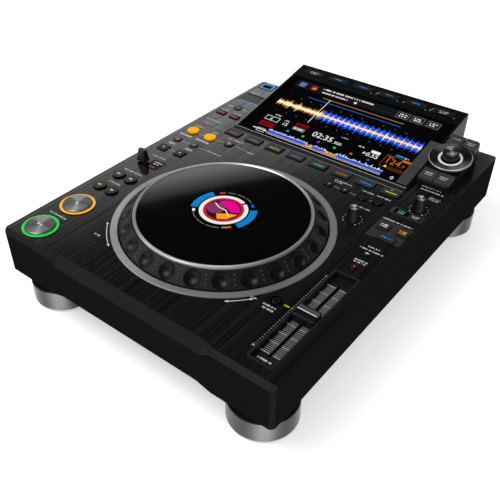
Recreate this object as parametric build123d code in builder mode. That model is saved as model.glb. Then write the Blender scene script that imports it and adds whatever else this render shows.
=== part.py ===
from build123d import *
import os
from math import atan2, cos, sin, tan

# Tabletop DJ media player with a tilted touch screen and a large jog dial.
# Millimetres. X runs left to right, Y from the front edge to the back, Z up.
# The origin is the middle of the footprint, on the table.

os.makedirs("parts", exist_ok=True)

# ------------------------------------------------------------------ overall
WIDTH = 329.0
DEPTH = 453.0             # front edge to the back of the screen housing
HEIGHT = 118.0            # table to the top of the screen housing
REAR_OVERHANG = 21.5      # screen housing, behind the rear wall
DECK_DEPTH = DEPTH - REAR_OVERHANG
DECK_Z = 87.7             # control surface above the table
SIDE_HEIGHT = 49.5        # control surface down to the side skirts

# ------------------------------------------------------------------ casing
WALL = 3.0
FLOOR_T = 3.0
PANEL_T = 3.0             # control panel
CASE_CORNER_R = 5.0
SKIRT_DROP = 4.4          # side skirts below the floor
SKIRT_T = 4.0
ARCH_INSET = 64.0         # the front skirt is raised from here inwards
ARCH_RUN = 16.0           # length of its slanted ends
RAIL_DEPTH = 9.0          # rail under the panel's front edge
RAIL_DROP = 11.5
BEVEL_Y = 5.0             # front bevel at the corners
BEVEL_Z = 4.2
WIDE_BEVEL_Y = 8.0        # front bevel between the shoulders
WIDE_BEVEL_Z = 10.4
SHOULDER_INSET = 64.5     # where the bevel starts to widen
SHOULDER_RUN = 10.0

# ------------------------------------------------------------------ feet
FOOT_R = 33.0
FOOT_NECK_R = 28.5
FOOT_CUP_H = 23.5
FOOT_PAD_R = 30.0
FOOT_PAD_T = 2.2
FOOT_EDGE = 0.8
FOOT_X_INSET = 34.5
FOOT_FRONT_INSET = 35.5
FOOT_REAR_INSET = 33.0

# ------------------------------------------------------------------ jog dial
JOG_ROW = 31.479          # middle of the dial: rows are in percent of the depth
DIAL_ROWS = 49.404        # run kept free for the dial between the rows, in percent
SIDE_COLUMN_W = 52.6      # columns of controls on each side of the dial
SURROUND_R = min(WIDTH / 2 - SIDE_COLUMN_W, DEPTH * DIAL_ROWS / 200)
SURROUND_BAND = 7.4
SURROUND_INNER_R = SURROUND_R - SURROUND_BAND
SURROUND_RISE = 1.3
SURROUND_SKIRT = 7.5
SURROUND_EDGE = 0.7
PLATTER_GAP = 1.5         # between the dial and its surround ring
PLATTER_R = SURROUND_INNER_R - PLATTER_GAP
PLATTER_LOW = 6.0         # rim below the control surface
PLATTER_LIP = 1.6         # rim above the control surface
BEVEL_RUN = 12.4          # finger bevel
BEVEL_TOP_R = PLATTER_R - BEVEL_RUN
BEVEL_RISE = 13.6
RIM_STEP = 1.7            # from the bevel in to the chrome hoop
RIM_R = BEVEL_TOP_R - RIM_STEP
RIM_T = 3.3
RIM_RISE = 16.0
RIM_EDGE = 0.8
TOP_PLATE_RISE = 15.0
TOP_PLATE_T = 2.0
DIMPLES = 24
DIMPLE_R = 8.4
DIMPLE_BALL_R = 11.5
DIMPLE_SETBACK = 6.3
DIMPLE_AT_R = BEVEL_TOP_R + DIMPLE_SETBACK
HUB_WALL = 5.0
DRUM_R = 40.0             # fixed bearing drum inside the dial
DRUM_BORE_R = 30.0
DRUM_CABLE_R = 8.0
RUN_GAP = 0.3             # clearance between turning and fixed faces
TRAY_T = 2.6
TRAY_DEPTH = 14.0
TRAY_FLANGE = 9.0
SEAT_GAP = 0.6            # panel opening around the surround's skirt
SURROUND_WALL = 2.0
RIM_WALL = 5.0            # thickness behind the finger bevel
GROOVE_DEPTH = 1.5
GROOVE_W = 1.3
WEB_T = 2.6
DISPLAY_LENS_R = 35.3
DISPLAY_MODULE_R = 29.6
DISPLAY_MODULE_DEPTH = 9.0
LENS_GAP = 0.5
LENS_PROUD = 0.3

# ------------------------------------------------------------------ screen housing
SCREEN_SIDE_INSET = 49.75  # from the case's sides
SCREEN_W = WIDTH - 2 * SCREEN_SIDE_INSET
SCREEN_ROW = 67.616       # front edge of the tilted face
SCREEN_FRONT_RISE = 1.8
PLINTH_RUN = 5.2          # low plinth in front of the tilted face
PLINTH_RISE = 1.0
GLASS_SIDE_RIM = 3.0
GLASS_FRONT_RIM = 1.4
STRIP_ZONE = 26.5         # key strip and rear edge, behind the glass
GLASS_T = 1.2
GLASS_CORNER_R = 2.0
LCD_SIDE_RIM = 12.75
LCD_END_RIM = 6.25
LCD_OFFSET = 1.2          # display module, behind the middle of the glass
LCD_T = 5.0
TUB_SIDE_SETBACK = 8.75
TUB_FRONT_SETBACK = 6.0
TUB_REAR_SETBACK = 3.2    # to the case's rear wall
TUB_DROP = 9.0
TUB_WALL = 2.0
HOUSING_EDGE_R = 0.8
HOUSING_WALL = 3.0

# key strip behind the glass
STRIP_KEYS = 6
STRIP_END_ROOM = 7.05
STRIP_KEY_GAP = 8.9
STRIP_KEY_D = 8.6
STRIP_SETBACK = 12.25     # middle of the keys, from the rear edge
STRIP_PROUD = 0.9
STRIP_BAR_T = 1.8
STRIP_BAR_D = 12.0
STRIP_SKIN = 2.2
STRIP_ROOM = 1.4          # free depth under the bar

# ------------------------------------------------------------------ selector pod
POD_RIGHT_INSET = 13.6    # from the right-hand side to the pod's side
POD_W = 33.6              # keys and cheeks, right of the screen
POD_FRONT_AT = 20.0       # along the tilted face
POD_RUN = 82.0
POD_CORNER_R = 5.0
POD_DEPTH = 1.4           # pod body, below the tilted face
POD_KEY_RUN = 17.4
POD_KEY_GAP = 0.8
POD_KEY_LOW = -0.1
POD_KEY_HIGH = 4.2
POD_STEM = 6.0
POD_STEM_LENGTH = 4.2
POD_WELL_DEPTH = 4.6
POD_KEY_W = (POD_W - POD_KEY_GAP) / 2
POD_KEY_PITCH_X = POD_KEY_W + POD_KEY_GAP
POD_KEY_PITCH_Y = POD_RUN - POD_KEY_RUN
RING_R = 23.0
RING_BORE_R = 10.4
RING_FLAT_R = 13.0        # bright flat around the bore
RING_RIM_RISE = 7.6
RING_BORE_RISE = 5.4
RING_LOW = 3.6
RING_EDGE = 0.8
PEDESTAL_R = 15.0
SELECTOR_R = 8.7
SELECTOR_LOW = 4.0
SELECTOR_HIGH = 15.4
SELECTOR_FLUTES = 24
SELECTOR_FLUTE_R = 0.8
SELECTOR_CAP_T = 1.6

# ------------------------------------------------------------------ keys
KEY_GAP = 0.3             # between a key and its hole
COLLAR_LIP = 1.1
COLLAR_T = 1.2
COLLAR_GAP = 0.3          # under the panel
KEY_EDGE_R = 0.5
RECT_CORNER_R = 1.0
BEZEL_RISE = 0.8
BEZEL_R = 18.6

# ------------------------------------------------------------------ knobs
KNOB_BASE_R = 6.2
KNOB_TOP_R = 5.0
KNOB_H = 14.0
KNOB_LIFT = 0.4
KNOB_FLUTES = 14
KNOB_FLUTE_R = 0.7
KNOB_SKIRT_H = 1.4
SHAFT_R = 3.0
SHAFT_GAP = 0.1
SHAFT_DROP = 6.0

# ------------------------------------------------------------------ rocker keys
ROCKER_SPREAD = 17.6      # between the two caps
ROCKER_CAP_R = 7.2
ROCKER_BRIDGE = 5.0
ROCKER_PROUD = 2.0
ROCKER_LOW = 2.6
ROCKER_GAP = 0.5
TRUNNION_R = 0.9
TRUNNION_GAP = 0.1
TRUNNION_REACH = 1.6
PIVOT_BELOW = 1.6

# ------------------------------------------------------------------ direction lever
LEVER_BASE_W = 13.0
LEVER_BASE_D = 9.0
LEVER_TOP_W = 9.6
LEVER_TOP_D = 4.6
LEVER_LOW = 2.0
LEVER_HIGH = 15.5
LEVER_STEM = 5.0
LEVER_SLOT_RUN = 15.0
LEVER_PIVOT_BELOW = 11.0
LEVER_HUB_R = 3.4
LEVER_PIN_R = 1.5
EAR_T = 3.0
EAR_W = 9.0

# ------------------------------------------------------------------ tempo fader
FADER_X_INSET = 25.9
FADER_ROW = 18.124
WELL_W = 22.4
WELL_RUN = 130.0
WELL_CORNER_R = 2.0
WELL_RIM = 2.0
WELL_RIM_RISE = 0.6
WELL_WALL = 1.2
WELL_DEPTH = 5.0
WELL_FLOOR_T = 1.4
FADER_TRAVEL = 100.0
FADER_SLOT_W = 2.4
BLADE_W = 1.6
BLADE_RUN = 5.0
POT_W = 12.0
POT_H = 9.0
POT_WALL = 1.0
POT_MARGIN = 4.0          # pot body beyond the travel, at each end
CARRIAGE_W = 8.0
CARRIAGE_RUN = 9.0
CARRIAGE_T = 2.4
CAP_W = 20.4
CAP_RUN = 15.6
CAP_HIGH = 4.8
CAP_SHOULDER = 2.6
CAP_DISH = 1.6
CAP_RIDGE = 2.4
CAP_FLOAT = 0.4

# ------------------------------------------------------------------ card door and sockets
DOOR_W = 31.0
DOOR_D = 18.6
DOOR_T = 1.5
DOOR_GAP = 0.4
DOOR_BARREL_R = 1.2
DOOR_PIN_R = 0.7
CARD_UNIT_H = 26.0
CARD_UNIT_LIP = 1.5
CARD_STOP = 3.0
CARD_SLOT_W = 24.6
CARD_SLOT_T = 2.6
USB_REAR_INSET = 11.5
USB_FRAME_W = 20.0
USB_FRAME_D = 17.6
USB_WELL_W = 12.6
USB_WELL_D = 10.4
USB_WELL_DEPTH = 3.0
USB_SLOT_W = 12.2
USB_SLOT_T = 5.2
USB_DEPTH = 15.0
USB_TONGUE_T = 1.9
SOCKET_GAP = 0.2
INLET_W = 27.0
INLET_H = 19.8
INLET_FLANGE = 2.0
INLET_DEPTH = 21.0
INLET_CAVITY_W = 24.0
INLET_CAVITY_H = 16.2
INLET_CAVITY_DEPTH = 16.0
PIN_W = 2.0
PIN_H = 4.0
PIN_LENGTH = 13.0
PIN_SPREAD = 7.0
PIN_OFFSET = 2.4
LAN_W = 16.0
LAN_H = 13.6
LAN_CAVITY_W = 11.8
LAN_CAVITY_H = 8.2
LAN_DEPTH = 18.0
LAN_CAVITY_DEPTH = 13.0
LAN_CLIP_W = 6.0
LAN_CLIP_H = 4.0
USB_B_W = 12.2
USB_B_CAVITY = 8.4
USB_B_TONGUE = 4.0
RCA_R = 4.15
RCA_NECK_R = 3.6          # where the barrel passes the wall
RCA_BORE_R = 1.7
RCA_LENGTH = 9.5
RCA_BASE = 12.4
RCA_BASE_DEPTH = 9.0
SWITCH_W = 13.0
SWITCH_H = 19.0
SWITCH_GAP = 0.5
SWITCH_THROW = 14.0       # degrees
SWITCH_BODY = 4.0
SWITCH_BOX_DEPTH = 9.0
LOCK_SLOT_W = 7.0
LOCK_SLOT_H = 3.0

# ------------------------------------------------------------------ boards
BOARD_T = 1.6
STANDOFF_H = 6.0
STANDOFF_R = 3.5
MAIN_BOARD_INSET = 29.5   # from the case's left-hand side
SUPPLY_BOARD_INSET = 14.5  # from its right-hand side
BOARD_SPACING = 25.0      # between the two
MAIN_BOARD_D = 120.0
SUPPLY_BOARD_W = 70.0
SUPPLY_BOARD_D = 110.0
BOARD_HOLE_INSET = 7.0
CONTROL_BOARD_DROP = 10.5  # control boards, below the control surface
SWITCH_BLOCK = 5.0        # tactile switch under each key
KEY_TRAVEL = 1.2
POST_R = 2.0
POST_INSET = 3.0
TRANSFORMER_W = 38.0
TRANSFORMER_D = 44.0
TRANSFORMER_H = 20.0
COOLER_W = 30.0
COOLER_FINS = 7
FIN_T = 2.0
FIN_H = 7.0

# ------------------------------------------------------------------ derived places
LEFT = -WIDTH / 2
RIGHT = WIDTH / 2
FRONT = -DEPTH / 2
BACK = DEPTH / 2
REAR_WALL = FRONT + DECK_DEPTH
DECK_MID_Y = FRONT + DECK_DEPTH / 2
PANEL_LOW = DECK_Z - PANEL_T
CASE_LOW = DECK_Z - SIDE_HEIGHT
FLOOR_LOW = CASE_LOW + SKIRT_DROP
FLOOR_TOP = FLOOR_LOW + FLOOR_T
DRUM_TOP = TOP_PLATE_RISE - TOP_PLATE_T - LENS_GAP
HUB_BORE_R = DRUM_R + RUN_GAP
HUB_R = HUB_BORE_R + HUB_WALL


def row(percent):
    """Place of a row of controls, in percent of the depth from the front edge."""
    return FRONT + DEPTH * percent / 100


JOG_Y = row(JOG_ROW)
JOG_CENTRE = (0, JOG_Y)
FOOT_PLACES = [
    (side * (WIDTH / 2 - FOOT_X_INSET), y)
    for side in (-1, 1)
    for y in (FRONT + FOOT_FRONT_INSET, REAR_WALL - FOOT_REAR_INSET)
]

# the tilted face of the screen housing
FACE_Y = row(SCREEN_ROW)
SCREEN_BACK_RISE = HEIGHT - DECK_Z
SCREEN_RUN_Y = BACK - FACE_Y
TILT = atan2(SCREEN_BACK_RISE - SCREEN_FRONT_RISE, SCREEN_RUN_Y)
FACE_RUN = SCREEN_RUN_Y / cos(TILT)
GLASS_RUN = FACE_RUN - GLASS_FRONT_RIM - STRIP_ZONE
LCD_W = SCREEN_W - 2 * LCD_SIDE_RIM
LCD_RUN = GLASS_RUN - 2 * LCD_END_RIM
TUB_W = SCREEN_W - 2 * TUB_SIDE_SETBACK
TUB_RUN = REAR_WALL - FACE_Y - TUB_FRONT_SETBACK - TUB_REAR_SETBACK
STRIP_PITCH = (SCREEN_W - 2 * STRIP_END_ROOM) / STRIP_KEYS
STRIP_KEY_W = STRIP_PITCH - STRIP_KEY_GAP
STRIP_AT = FACE_RUN - STRIP_SETBACK
SCREEN_ORIGIN = (0, FACE_Y, DECK_Z + SCREEN_FRONT_RISE)
SCREEN_NORMAL = (0, -sin(TILT), cos(TILT))
SCREEN = Plane(origin=SCREEN_ORIGIN, x_dir=(1, 0, 0), z_dir=SCREEN_NORMAL)
POD_X = RIGHT - POD_RIGHT_INSET - POD_W / 2
POD_MID_AT = POD_FRONT_AT + POD_RUN / 2

# control positions: columns from the sides, rows from the front edge
PLAY_X = LEFT + 27.0
HOT_CUE_ROW = row(64.371)
HOT_CUE_SIDE_ROOM = 44.5
HOT_CUE_PITCH = (WIDTH - 2 * HOT_CUE_SIDE_ROOM) / 8
SMALL_ROW = row(58.764)
RIGHT_COLUMN = RIGHT - 27.0

PLAY_CUE = {"play_button": (PLAY_X, row(5.629)), "cue_button": (PLAY_X, row(16.225))}
PLAY_CAP_R = 15.2
PLAY_PROUD = 3.0

# name: x, y, cap radius, height above the panel
ROUND_KEYS = {
    "loop_size_four_button": (LEFT + 16.5, row(52.671), 4.2, 1.1),
    "loop_size_eight_button": (LEFT + 41.0, row(52.892), 4.2, 1.1),
    "loop_in_button": (LEFT + 17.4, SMALL_ROW - 0.8, 7.2, 2.2),
    "loop_out_button": (LEFT + 44.0, SMALL_ROW - 1.2, 7.2, 2.2),
    "reloop_button": (LEFT + 71.6, SMALL_ROW + 0.8, 5.4, 1.5),
    "usb_stop_button": (LEFT + 23.4, row(76.336), 3.4, 1.0),
    "call_back_button": (RIGHT - 119.4, SMALL_ROW, 4.2, 1.1),
    "call_forward_button": (RIGHT - 100.2, SMALL_ROW, 4.2, 1.1),
    "delete_button": (RIGHT - 78.2, SMALL_ROW - 1.0, 4.8, 0.8),
    "memory_button": (RIGHT - 60.8, SMALL_ROW, 3.9, 1.4),
    "tempo_range_button": (RIGHT_COLUMN, row(40.751), 3.4, 2.2),
    "master_tempo_button": (RIGHT_COLUMN, row(35.541), 3.4, 2.2),
    "tempo_reset_button": (RIGHT - 56.8, row(17.925), 3.6, 0.9),
}

# name: x, y, width, depth, height above the panel
RECT_KEYS = {
    "slip_key": (LEFT + 18.3, row(64.415), 20.6, 10.6, 0.3),
    "time_mode_key": (LEFT + 13.6, row(71.611), 13.2, 8.2, 1.5),
    "quantize_key": (LEFT + 34.0, row(71.523), 13.2, 8.2, 1.5),
    "beat_jump_back_key": (LEFT + 16.4, row(47.329), 12.2, 12.2, 1.5),
    "beat_jump_forward_key": (LEFT + 40.4, row(47.55), 12.2, 12.2, 1.5),
    "jog_mode_key": (RIGHT - 18.4, row(58.698), 13.0, 8.4, 0.9),
    "key_sync_key": (RIGHT - 36.0, row(51.7), 13.0, 11.4, 1.9),
    "master_key": (RIGHT - 16.0, row(51.7), 13.0, 11.4, 1.9),
    "beat_sync_key": (RIGHT - 24.9, row(47.947), 19.0, 8.8, 1.9),
}
HOT_CUE_W = 21.2
HOT_CUE_D = 12.6
HOT_CUE_PROUD = 1.6
HOT_CUE_LETTERS = "abcdefgh"
for index, letter in enumerate(HOT_CUE_LETTERS):
    hot_cue_x = (index - (len(HOT_CUE_LETTERS) - 1) / 2) * HOT_CUE_PITCH
    RECT_KEYS[f"hot_cue_key_{letter}"] = (hot_cue_x, HOT_CUE_ROW, HOT_CUE_W, HOT_CUE_D, HOT_CUE_PROUD)

# raised plates that frame the key groups on the right: x, y, width, depth
PLATE_RISE = 0.4
PLATES = {
    "sync_plate": (RIGHT - 27.4, row(50.464), 36.0, 31.4),
    "mode_plate": (RIGHT - 27.4, row(58.72), 35.0, 12.4),
}

KNOBS = {
    "jog_adjust_knob": (RIGHT - 67.2, row(49.978)),
    "speed_knob": (RIGHT - 22.6, row(62.163)),
}
ROCKERS = {
    "search_rocker": (LEFT + 27.2, row(24.857)),
    "track_rocker": (LEFT + 27.6, row(30.993)),
}
LEVER_X = LEFT + 19.4
LEVER_Y = row(39.205)
FADER_X = RIGHT - FADER_X_INSET
FADER_Y = row(FADER_ROW)
DOOR_X = LEFT + 22.0
DOOR_Y = row(83.885)
DOOR_PIVOT_Y = DOOR_Y + DOOR_D / 2 - PIVOT_BELOW
USB_X = LEFT + 15.6
USB_Y = REAR_WALL - USB_REAR_INSET

# rear sockets: x, and heights above the table
SOCKET_Z = DECK_Z - 24.0
JACK_LOW = SOCKET_Z - LAN_H / 2
RCA_Z = JACK_LOW + RCA_BASE / 2
USB_B_Z = JACK_LOW + USB_B_W / 2
INLET_X = 118.0
SWITCH_X = 82.0
LAN_X = 30.0
USB_B_X = 4.0
RCA_PLACES = [(-34.0, RCA_Z), (-78.0, RCA_Z), (-96.0, RCA_Z)]
LOCK_X = -136.0

# boards on the floor: x, y, width, depth, underside
MAIN_BOARD_W = WIDTH - MAIN_BOARD_INSET - SUPPLY_BOARD_W - SUPPLY_BOARD_INSET - BOARD_SPACING
FLOOR_BOARD_Y = REAR_WALL - 105.0
FLOOR_BOARD_LOW = FLOOR_TOP + STANDOFF_H
FLOOR_BOARDS = {
    "main": (LEFT + MAIN_BOARD_INSET + MAIN_BOARD_W / 2, FLOOR_BOARD_Y, MAIN_BOARD_W, MAIN_BOARD_D, FLOOR_BOARD_LOW),
    "supply": (
        RIGHT - SUPPLY_BOARD_INSET - SUPPLY_BOARD_W / 2, FLOOR_BOARD_Y,
        SUPPLY_BOARD_W, SUPPLY_BOARD_D, FLOOR_BOARD_LOW,
    ),
    "jack": (-32.0, REAR_WALL - WALL - 16.0, 156.0, 26.0, JACK_LOW - BOARD_T),
}
# boards under the keys: x, width, front row, rear row
CONTROL_BOARDS = {
    "play": (LEFT + 27.0, 44.0, 2.43, 33.55),
    "loop": (LEFT + 26.0, 38.0, 44.15, 67.11),
    "source": (LEFT + 26.0, 42.0, 67.55, 78.37),
    "hot_cue": (0.0, WIDTH - 91.0, 61.37, 67.33),
    "reloop": (LEFT + 71.6, 24.0, 56.29, 61.24),
    "memory": (RIGHT - 90.0, 78.0, 56.2, 61.06),
    "sync": (RIGHT - 27.0, 44.0, 41.94, 61.24),
    "tempo": (RIGHT - 27.0, 30.0, 34.22, 41.72),
    "reset": (RIGHT - 53.0, 16.0, 15.28, 20.57),
}


# ------------------------------------------------------------------ lower case
with BuildPart() as lower_case:
    with BuildSketch(Plane.XY.offset(CASE_LOW)):
        with Locations((0, DECK_MID_Y)):
            RectangleRounded(WIDTH, DECK_DEPTH, CASE_CORNER_R)
    extrude(amount=PANEL_LOW - CASE_LOW)
    with BuildSketch(Plane.XY.offset(FLOOR_TOP)):
        with Locations((0, DECK_MID_Y)):
            RectangleRounded(WIDTH - 2 * WALL, DECK_DEPTH - 2 * WALL, CASE_CORNER_R - WALL)
    extrude(amount=PANEL_LOW - FLOOR_TOP, mode=Mode.SUBTRACT)
    with BuildSketch(Plane.XY.offset(CASE_LOW)):
        with Locations((0, DECK_MID_Y)):
            RectangleRounded(WIDTH - 2 * SKIRT_T, DECK_DEPTH - 2 * SKIRT_T, CASE_CORNER_R)
    extrude(amount=SKIRT_DROP, mode=Mode.SUBTRACT)
    # the front and rear skirts rise between the feet
    with BuildSketch(Plane.XZ.offset(-REAR_WALL)):
        with BuildLine():
            arch_low = WIDTH / 2 - ARCH_INSET
            arch_high = arch_low - ARCH_RUN
            Polyline(
                (-arch_low, CASE_LOW), (-arch_high, FLOOR_LOW),
                (arch_high, FLOOR_LOW), (arch_low, CASE_LOW), close=True,
            )
        make_face()
    extrude(amount=DECK_DEPTH, mode=Mode.SUBTRACT)
    # seat for the panel's front rail
    with BuildSketch(Plane.XY.offset(DECK_Z - RAIL_DROP)):
        with Locations((0, FRONT + RAIL_DEPTH / 2)):
            Rectangle(WIDTH, RAIL_DEPTH)
    extrude(amount=RAIL_DROP, mode=Mode.SUBTRACT)
    # standoffs for the boards on the floor
    for x, y, board_w, board_d, board_low in FLOOR_BOARDS.values():
        with BuildSketch(Plane.XY.offset(FLOOR_TOP)):
            with Locations((x, y)):
                with GridLocations(board_w - 2 * BOARD_HOLE_INSET, board_d - 2 * BOARD_HOLE_INSET, 2, 2):
                    Circle(STANDOFF_R)
        extrude(amount=board_low - FLOOR_TOP)
    # rear wall cut-outs
    with BuildSketch(Plane.XZ.offset(-REAR_WALL)):
        with Locations((INLET_X, SOCKET_Z)):
            Rectangle(INLET_W + 2 * SOCKET_GAP, INLET_H + 2 * SOCKET_GAP)
        with Locations((SWITCH_X, SOCKET_Z)):
            Rectangle(SWITCH_W + 2 * SWITCH_GAP, SWITCH_H + 2 * SWITCH_GAP)
        with Locations((LAN_X, SOCKET_Z)):
            Rectangle(LAN_W + 2 * SOCKET_GAP, LAN_H + 2 * SOCKET_GAP)
        with Locations((USB_B_X, USB_B_Z)):
            Rectangle(USB_B_W + 2 * SOCKET_GAP, USB_B_W + 2 * SOCKET_GAP)
        with Locations(*RCA_PLACES):
            Circle(RCA_NECK_R + SOCKET_GAP)
        with Locations((LOCK_X, SOCKET_Z)):
            SlotOverall(LOCK_SLOT_W, LOCK_SLOT_H)
    extrude(amount=WALL, mode=Mode.SUBTRACT)
    # pivot holes of the power switch
    with BuildSketch(Plane.YZ.offset(SWITCH_X)):
        with Locations((REAR_WALL - WALL / 2, SOCKET_Z)):
            Circle(TRUNNION_R + TRUNNION_GAP)
    extrude(amount=SWITCH_W / 2 + SWITCH_GAP + TRUNNION_REACH, both=True, mode=Mode.SUBTRACT)
lower_case.part.label = "lower_case"
export_step(lower_case.part, "parts/lower_case.step")

# ------------------------------------------------------------------ control panel
with BuildPart() as top_panel:
    with BuildSketch(Plane.XY.offset(PANEL_LOW)):
        with Locations((0, DECK_MID_Y)):
            RectangleRounded(WIDTH, DECK_DEPTH, CASE_CORNER_R)
    extrude(amount=PANEL_T)
    with BuildSketch(Plane.XY.offset(DECK_Z - RAIL_DROP)):
        with Locations((0, DECK_MID_Y)):
            RectangleRounded(WIDTH, DECK_DEPTH, CASE_CORNER_R)
        with Locations((0, FRONT + RAIL_DEPTH + DECK_DEPTH / 2)):
            Rectangle(WIDTH, DECK_DEPTH, mode=Mode.SUBTRACT)
    extrude(amount=RAIL_DROP - PANEL_T)
    # front bevel: narrow at the corners, wide between the shoulders
    with BuildSketch(Plane.YZ.offset(LEFT)):
        with BuildLine():
            Polyline(
                (FRONT, DECK_Z - BEVEL_Z), (FRONT + BEVEL_Y, DECK_Z),
                (FRONT, DECK_Z), close=True,
            )
        make_face()
    extrude(amount=WIDTH, mode=Mode.SUBTRACT)
    shoulder_outer = WIDTH / 2 - SHOULDER_INSET
    shoulder_inner = shoulder_outer - SHOULDER_RUN
    for x, run, drop in (
        (-shoulder_outer, BEVEL_Y, BEVEL_Z),
        (-shoulder_inner, WIDE_BEVEL_Y, WIDE_BEVEL_Z),
        (shoulder_inner, WIDE_BEVEL_Y, WIDE_BEVEL_Z),
        (shoulder_outer, BEVEL_Y, BEVEL_Z),
    ):
        with BuildSketch(Plane.YZ.offset(x)):
            with BuildLine():
                Polyline((FRONT, DECK_Z - drop), (FRONT + run, DECK_Z), (FRONT, DECK_Z), close=True)
            make_face()
    loft(ruled=True, mode=Mode.SUBTRACT)
    # plates and lit-button bezels stand a little above the surface
    with BuildSketch(Plane.XY.offset(DECK_Z)):
        for x, y, plate_w, plate_d in PLATES.values():
            with Locations((x, y)):
                RectangleRounded(plate_w, plate_d, RECT_CORNER_R)
    extrude(amount=PLATE_RISE)
    with BuildSketch(Plane.XY.offset(DECK_Z)):
        with Locations(*PLAY_CUE.values()):
            Circle(BEZEL_R)
    extrude(amount=BEZEL_RISE)
    # pivot ears of the direction lever hang below the panel
    with BuildSketch(Plane.XY.offset(PANEL_LOW)):
        for side in (-1, 1):
            with Locations((LEVER_X + side * (LEVER_STEM / 2 + KEY_GAP + EAR_T / 2), LEVER_Y)):
                Rectangle(EAR_T, EAR_W)
    extrude(amount=-(LEVER_PIVOT_BELOW - PANEL_T + EAR_W / 2))
    with BuildSketch(Plane.YZ.offset(LEVER_X)):
        with Locations((LEVER_Y, DECK_Z - LEVER_PIVOT_BELOW)):
            Circle(LEVER_PIN_R + TRUNNION_GAP)
    extrude(amount=LEVER_STEM / 2 + KEY_GAP + EAR_T, both=True, mode=Mode.SUBTRACT)
    # openings for the dial, the screen tub, the fader and every key
    with BuildSketch(Plane.XY.offset(PANEL_LOW)):
        with Locations(JOG_CENTRE):
            Circle(SURROUND_INNER_R + SURROUND_WALL + SEAT_GAP)
        with Locations((0, FACE_Y + TUB_FRONT_SETBACK + TUB_RUN / 2)):
            Rectangle(TUB_W + 2 * SOCKET_GAP, TUB_RUN + 2 * SOCKET_GAP)
        with Locations((FADER_X, FADER_Y)):
            RectangleRounded(
                WELL_W + 2 * WELL_WALL + 2 * SOCKET_GAP,
                WELL_RUN + 2 * WELL_WALL + 2 * SOCKET_GAP,
                WELL_CORNER_R,
            )
        for place in PLAY_CUE.values():
            with Locations(place):
                Circle(PLAY_CAP_R + KEY_GAP)
        for x, y, cap_r, proud in ROUND_KEYS.values():
            with Locations((x, y)):
                Circle(cap_r + KEY_GAP)
        for x, y, key_w, key_d, proud in RECT_KEYS.values():
            with Locations((x, y)):
                RectangleRounded(key_w + 2 * KEY_GAP, key_d + 2 * KEY_GAP, RECT_CORNER_R + KEY_GAP)
        for place in KNOBS.values():
            with Locations(place):
                Circle(SHAFT_R + SHAFT_GAP)
        for x, y in ROCKERS.values():
            with Locations((x - ROCKER_SPREAD / 2, y), (x + ROCKER_SPREAD / 2, y)):
                Circle(ROCKER_CAP_R + ROCKER_GAP)
            with Locations((x, y)):
                Rectangle(ROCKER_SPREAD, ROCKER_BRIDGE + 2 * ROCKER_GAP)
        with Locations((LEVER_X, LEVER_Y)):
            Rectangle(LEVER_STEM + 2 * KEY_GAP, LEVER_SLOT_RUN)
        with Locations((DOOR_X, DOOR_Y)):
            Rectangle(DOOR_W + 2 * DOOR_GAP, DOOR_D + 2 * DOOR_GAP)
        with Locations((USB_X, USB_Y)):
            RectangleRounded(USB_FRAME_W + 2 * SOCKET_GAP, USB_FRAME_D + 2 * SOCKET_GAP, RECT_CORNER_R)
    extrude(amount=PANEL_T + BEZEL_RISE, mode=Mode.SUBTRACT)
    # pivot holes of the rocker keys and of the card door
    for x, y in ROCKERS.values():
        with BuildSketch(Plane.XZ.offset(-y)):
            with Locations((x, DECK_Z - PIVOT_BELOW)):
                Circle(TRUNNION_R + TRUNNION_GAP)
        extrude(amount=ROCKER_BRIDGE / 2 + ROCKER_GAP + TRUNNION_REACH, both=True, mode=Mode.SUBTRACT)
    with BuildSketch(Plane.YZ.offset(DOOR_X)):
        with Locations((DOOR_PIVOT_Y, DECK_Z - PIVOT_BELOW)):
            Circle(DOOR_PIN_R + TRUNNION_GAP)
    extrude(amount=DOOR_W / 2 + DOOR_GAP + TRUNNION_REACH, both=True, mode=Mode.SUBTRACT)
top_panel.part.label = "top_panel"
export_step(top_panel.part, "parts/top_panel.step")

# ------------------------------------------------------------------ feet
with BuildPart() as feet:
    with BuildSketch():
        with Locations(*FOOT_PLACES):
            Circle(FOOT_PAD_R)
    extrude(amount=FOOT_PAD_T)
    with BuildSketch(Plane.XY.offset(FOOT_PAD_T)):
        with Locations(*FOOT_PLACES):
            Circle(FOOT_R)
    extrude(amount=FOOT_CUP_H)
    with BuildSketch(Plane.XY.offset(FOOT_PAD_T + FOOT_CUP_H)):
        with Locations(*FOOT_PLACES):
            Circle(FOOT_NECK_R)
    extrude(amount=FLOOR_LOW - FOOT_PAD_T - FOOT_CUP_H)
    cup_rims = feet.edges().filter_by(GeomType.CIRCLE).group_by(SortBy.RADIUS)[-1]
    chamfer(cup_rims, FOOT_EDGE)
feet.part.label = "feet"
export_step(feet.part, "parts/feet.step")

# ------------------------------------------------------------------ screen housing
TUB_MID_Y = FACE_Y + TUB_FRONT_SETBACK + TUB_RUN / 2
STRIP_BAR_W = STRIP_PITCH * (STRIP_KEYS - 1) + STRIP_KEY_W + 2 * COLLAR_LIP
ROOF_DEPTH = GLASS_T + LCD_T + TUB_WALL
LCD_MID_AT = GLASS_FRONT_RIM + GLASS_RUN / 2 + LCD_OFFSET


def face_rise(y, depth):
    """Height, at a place along Y, of a plane at a depth under the tilted face."""
    return DECK_Z + SCREEN_FRONT_RISE + (y - FACE_Y) * tan(TILT) - depth / cos(TILT)


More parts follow.
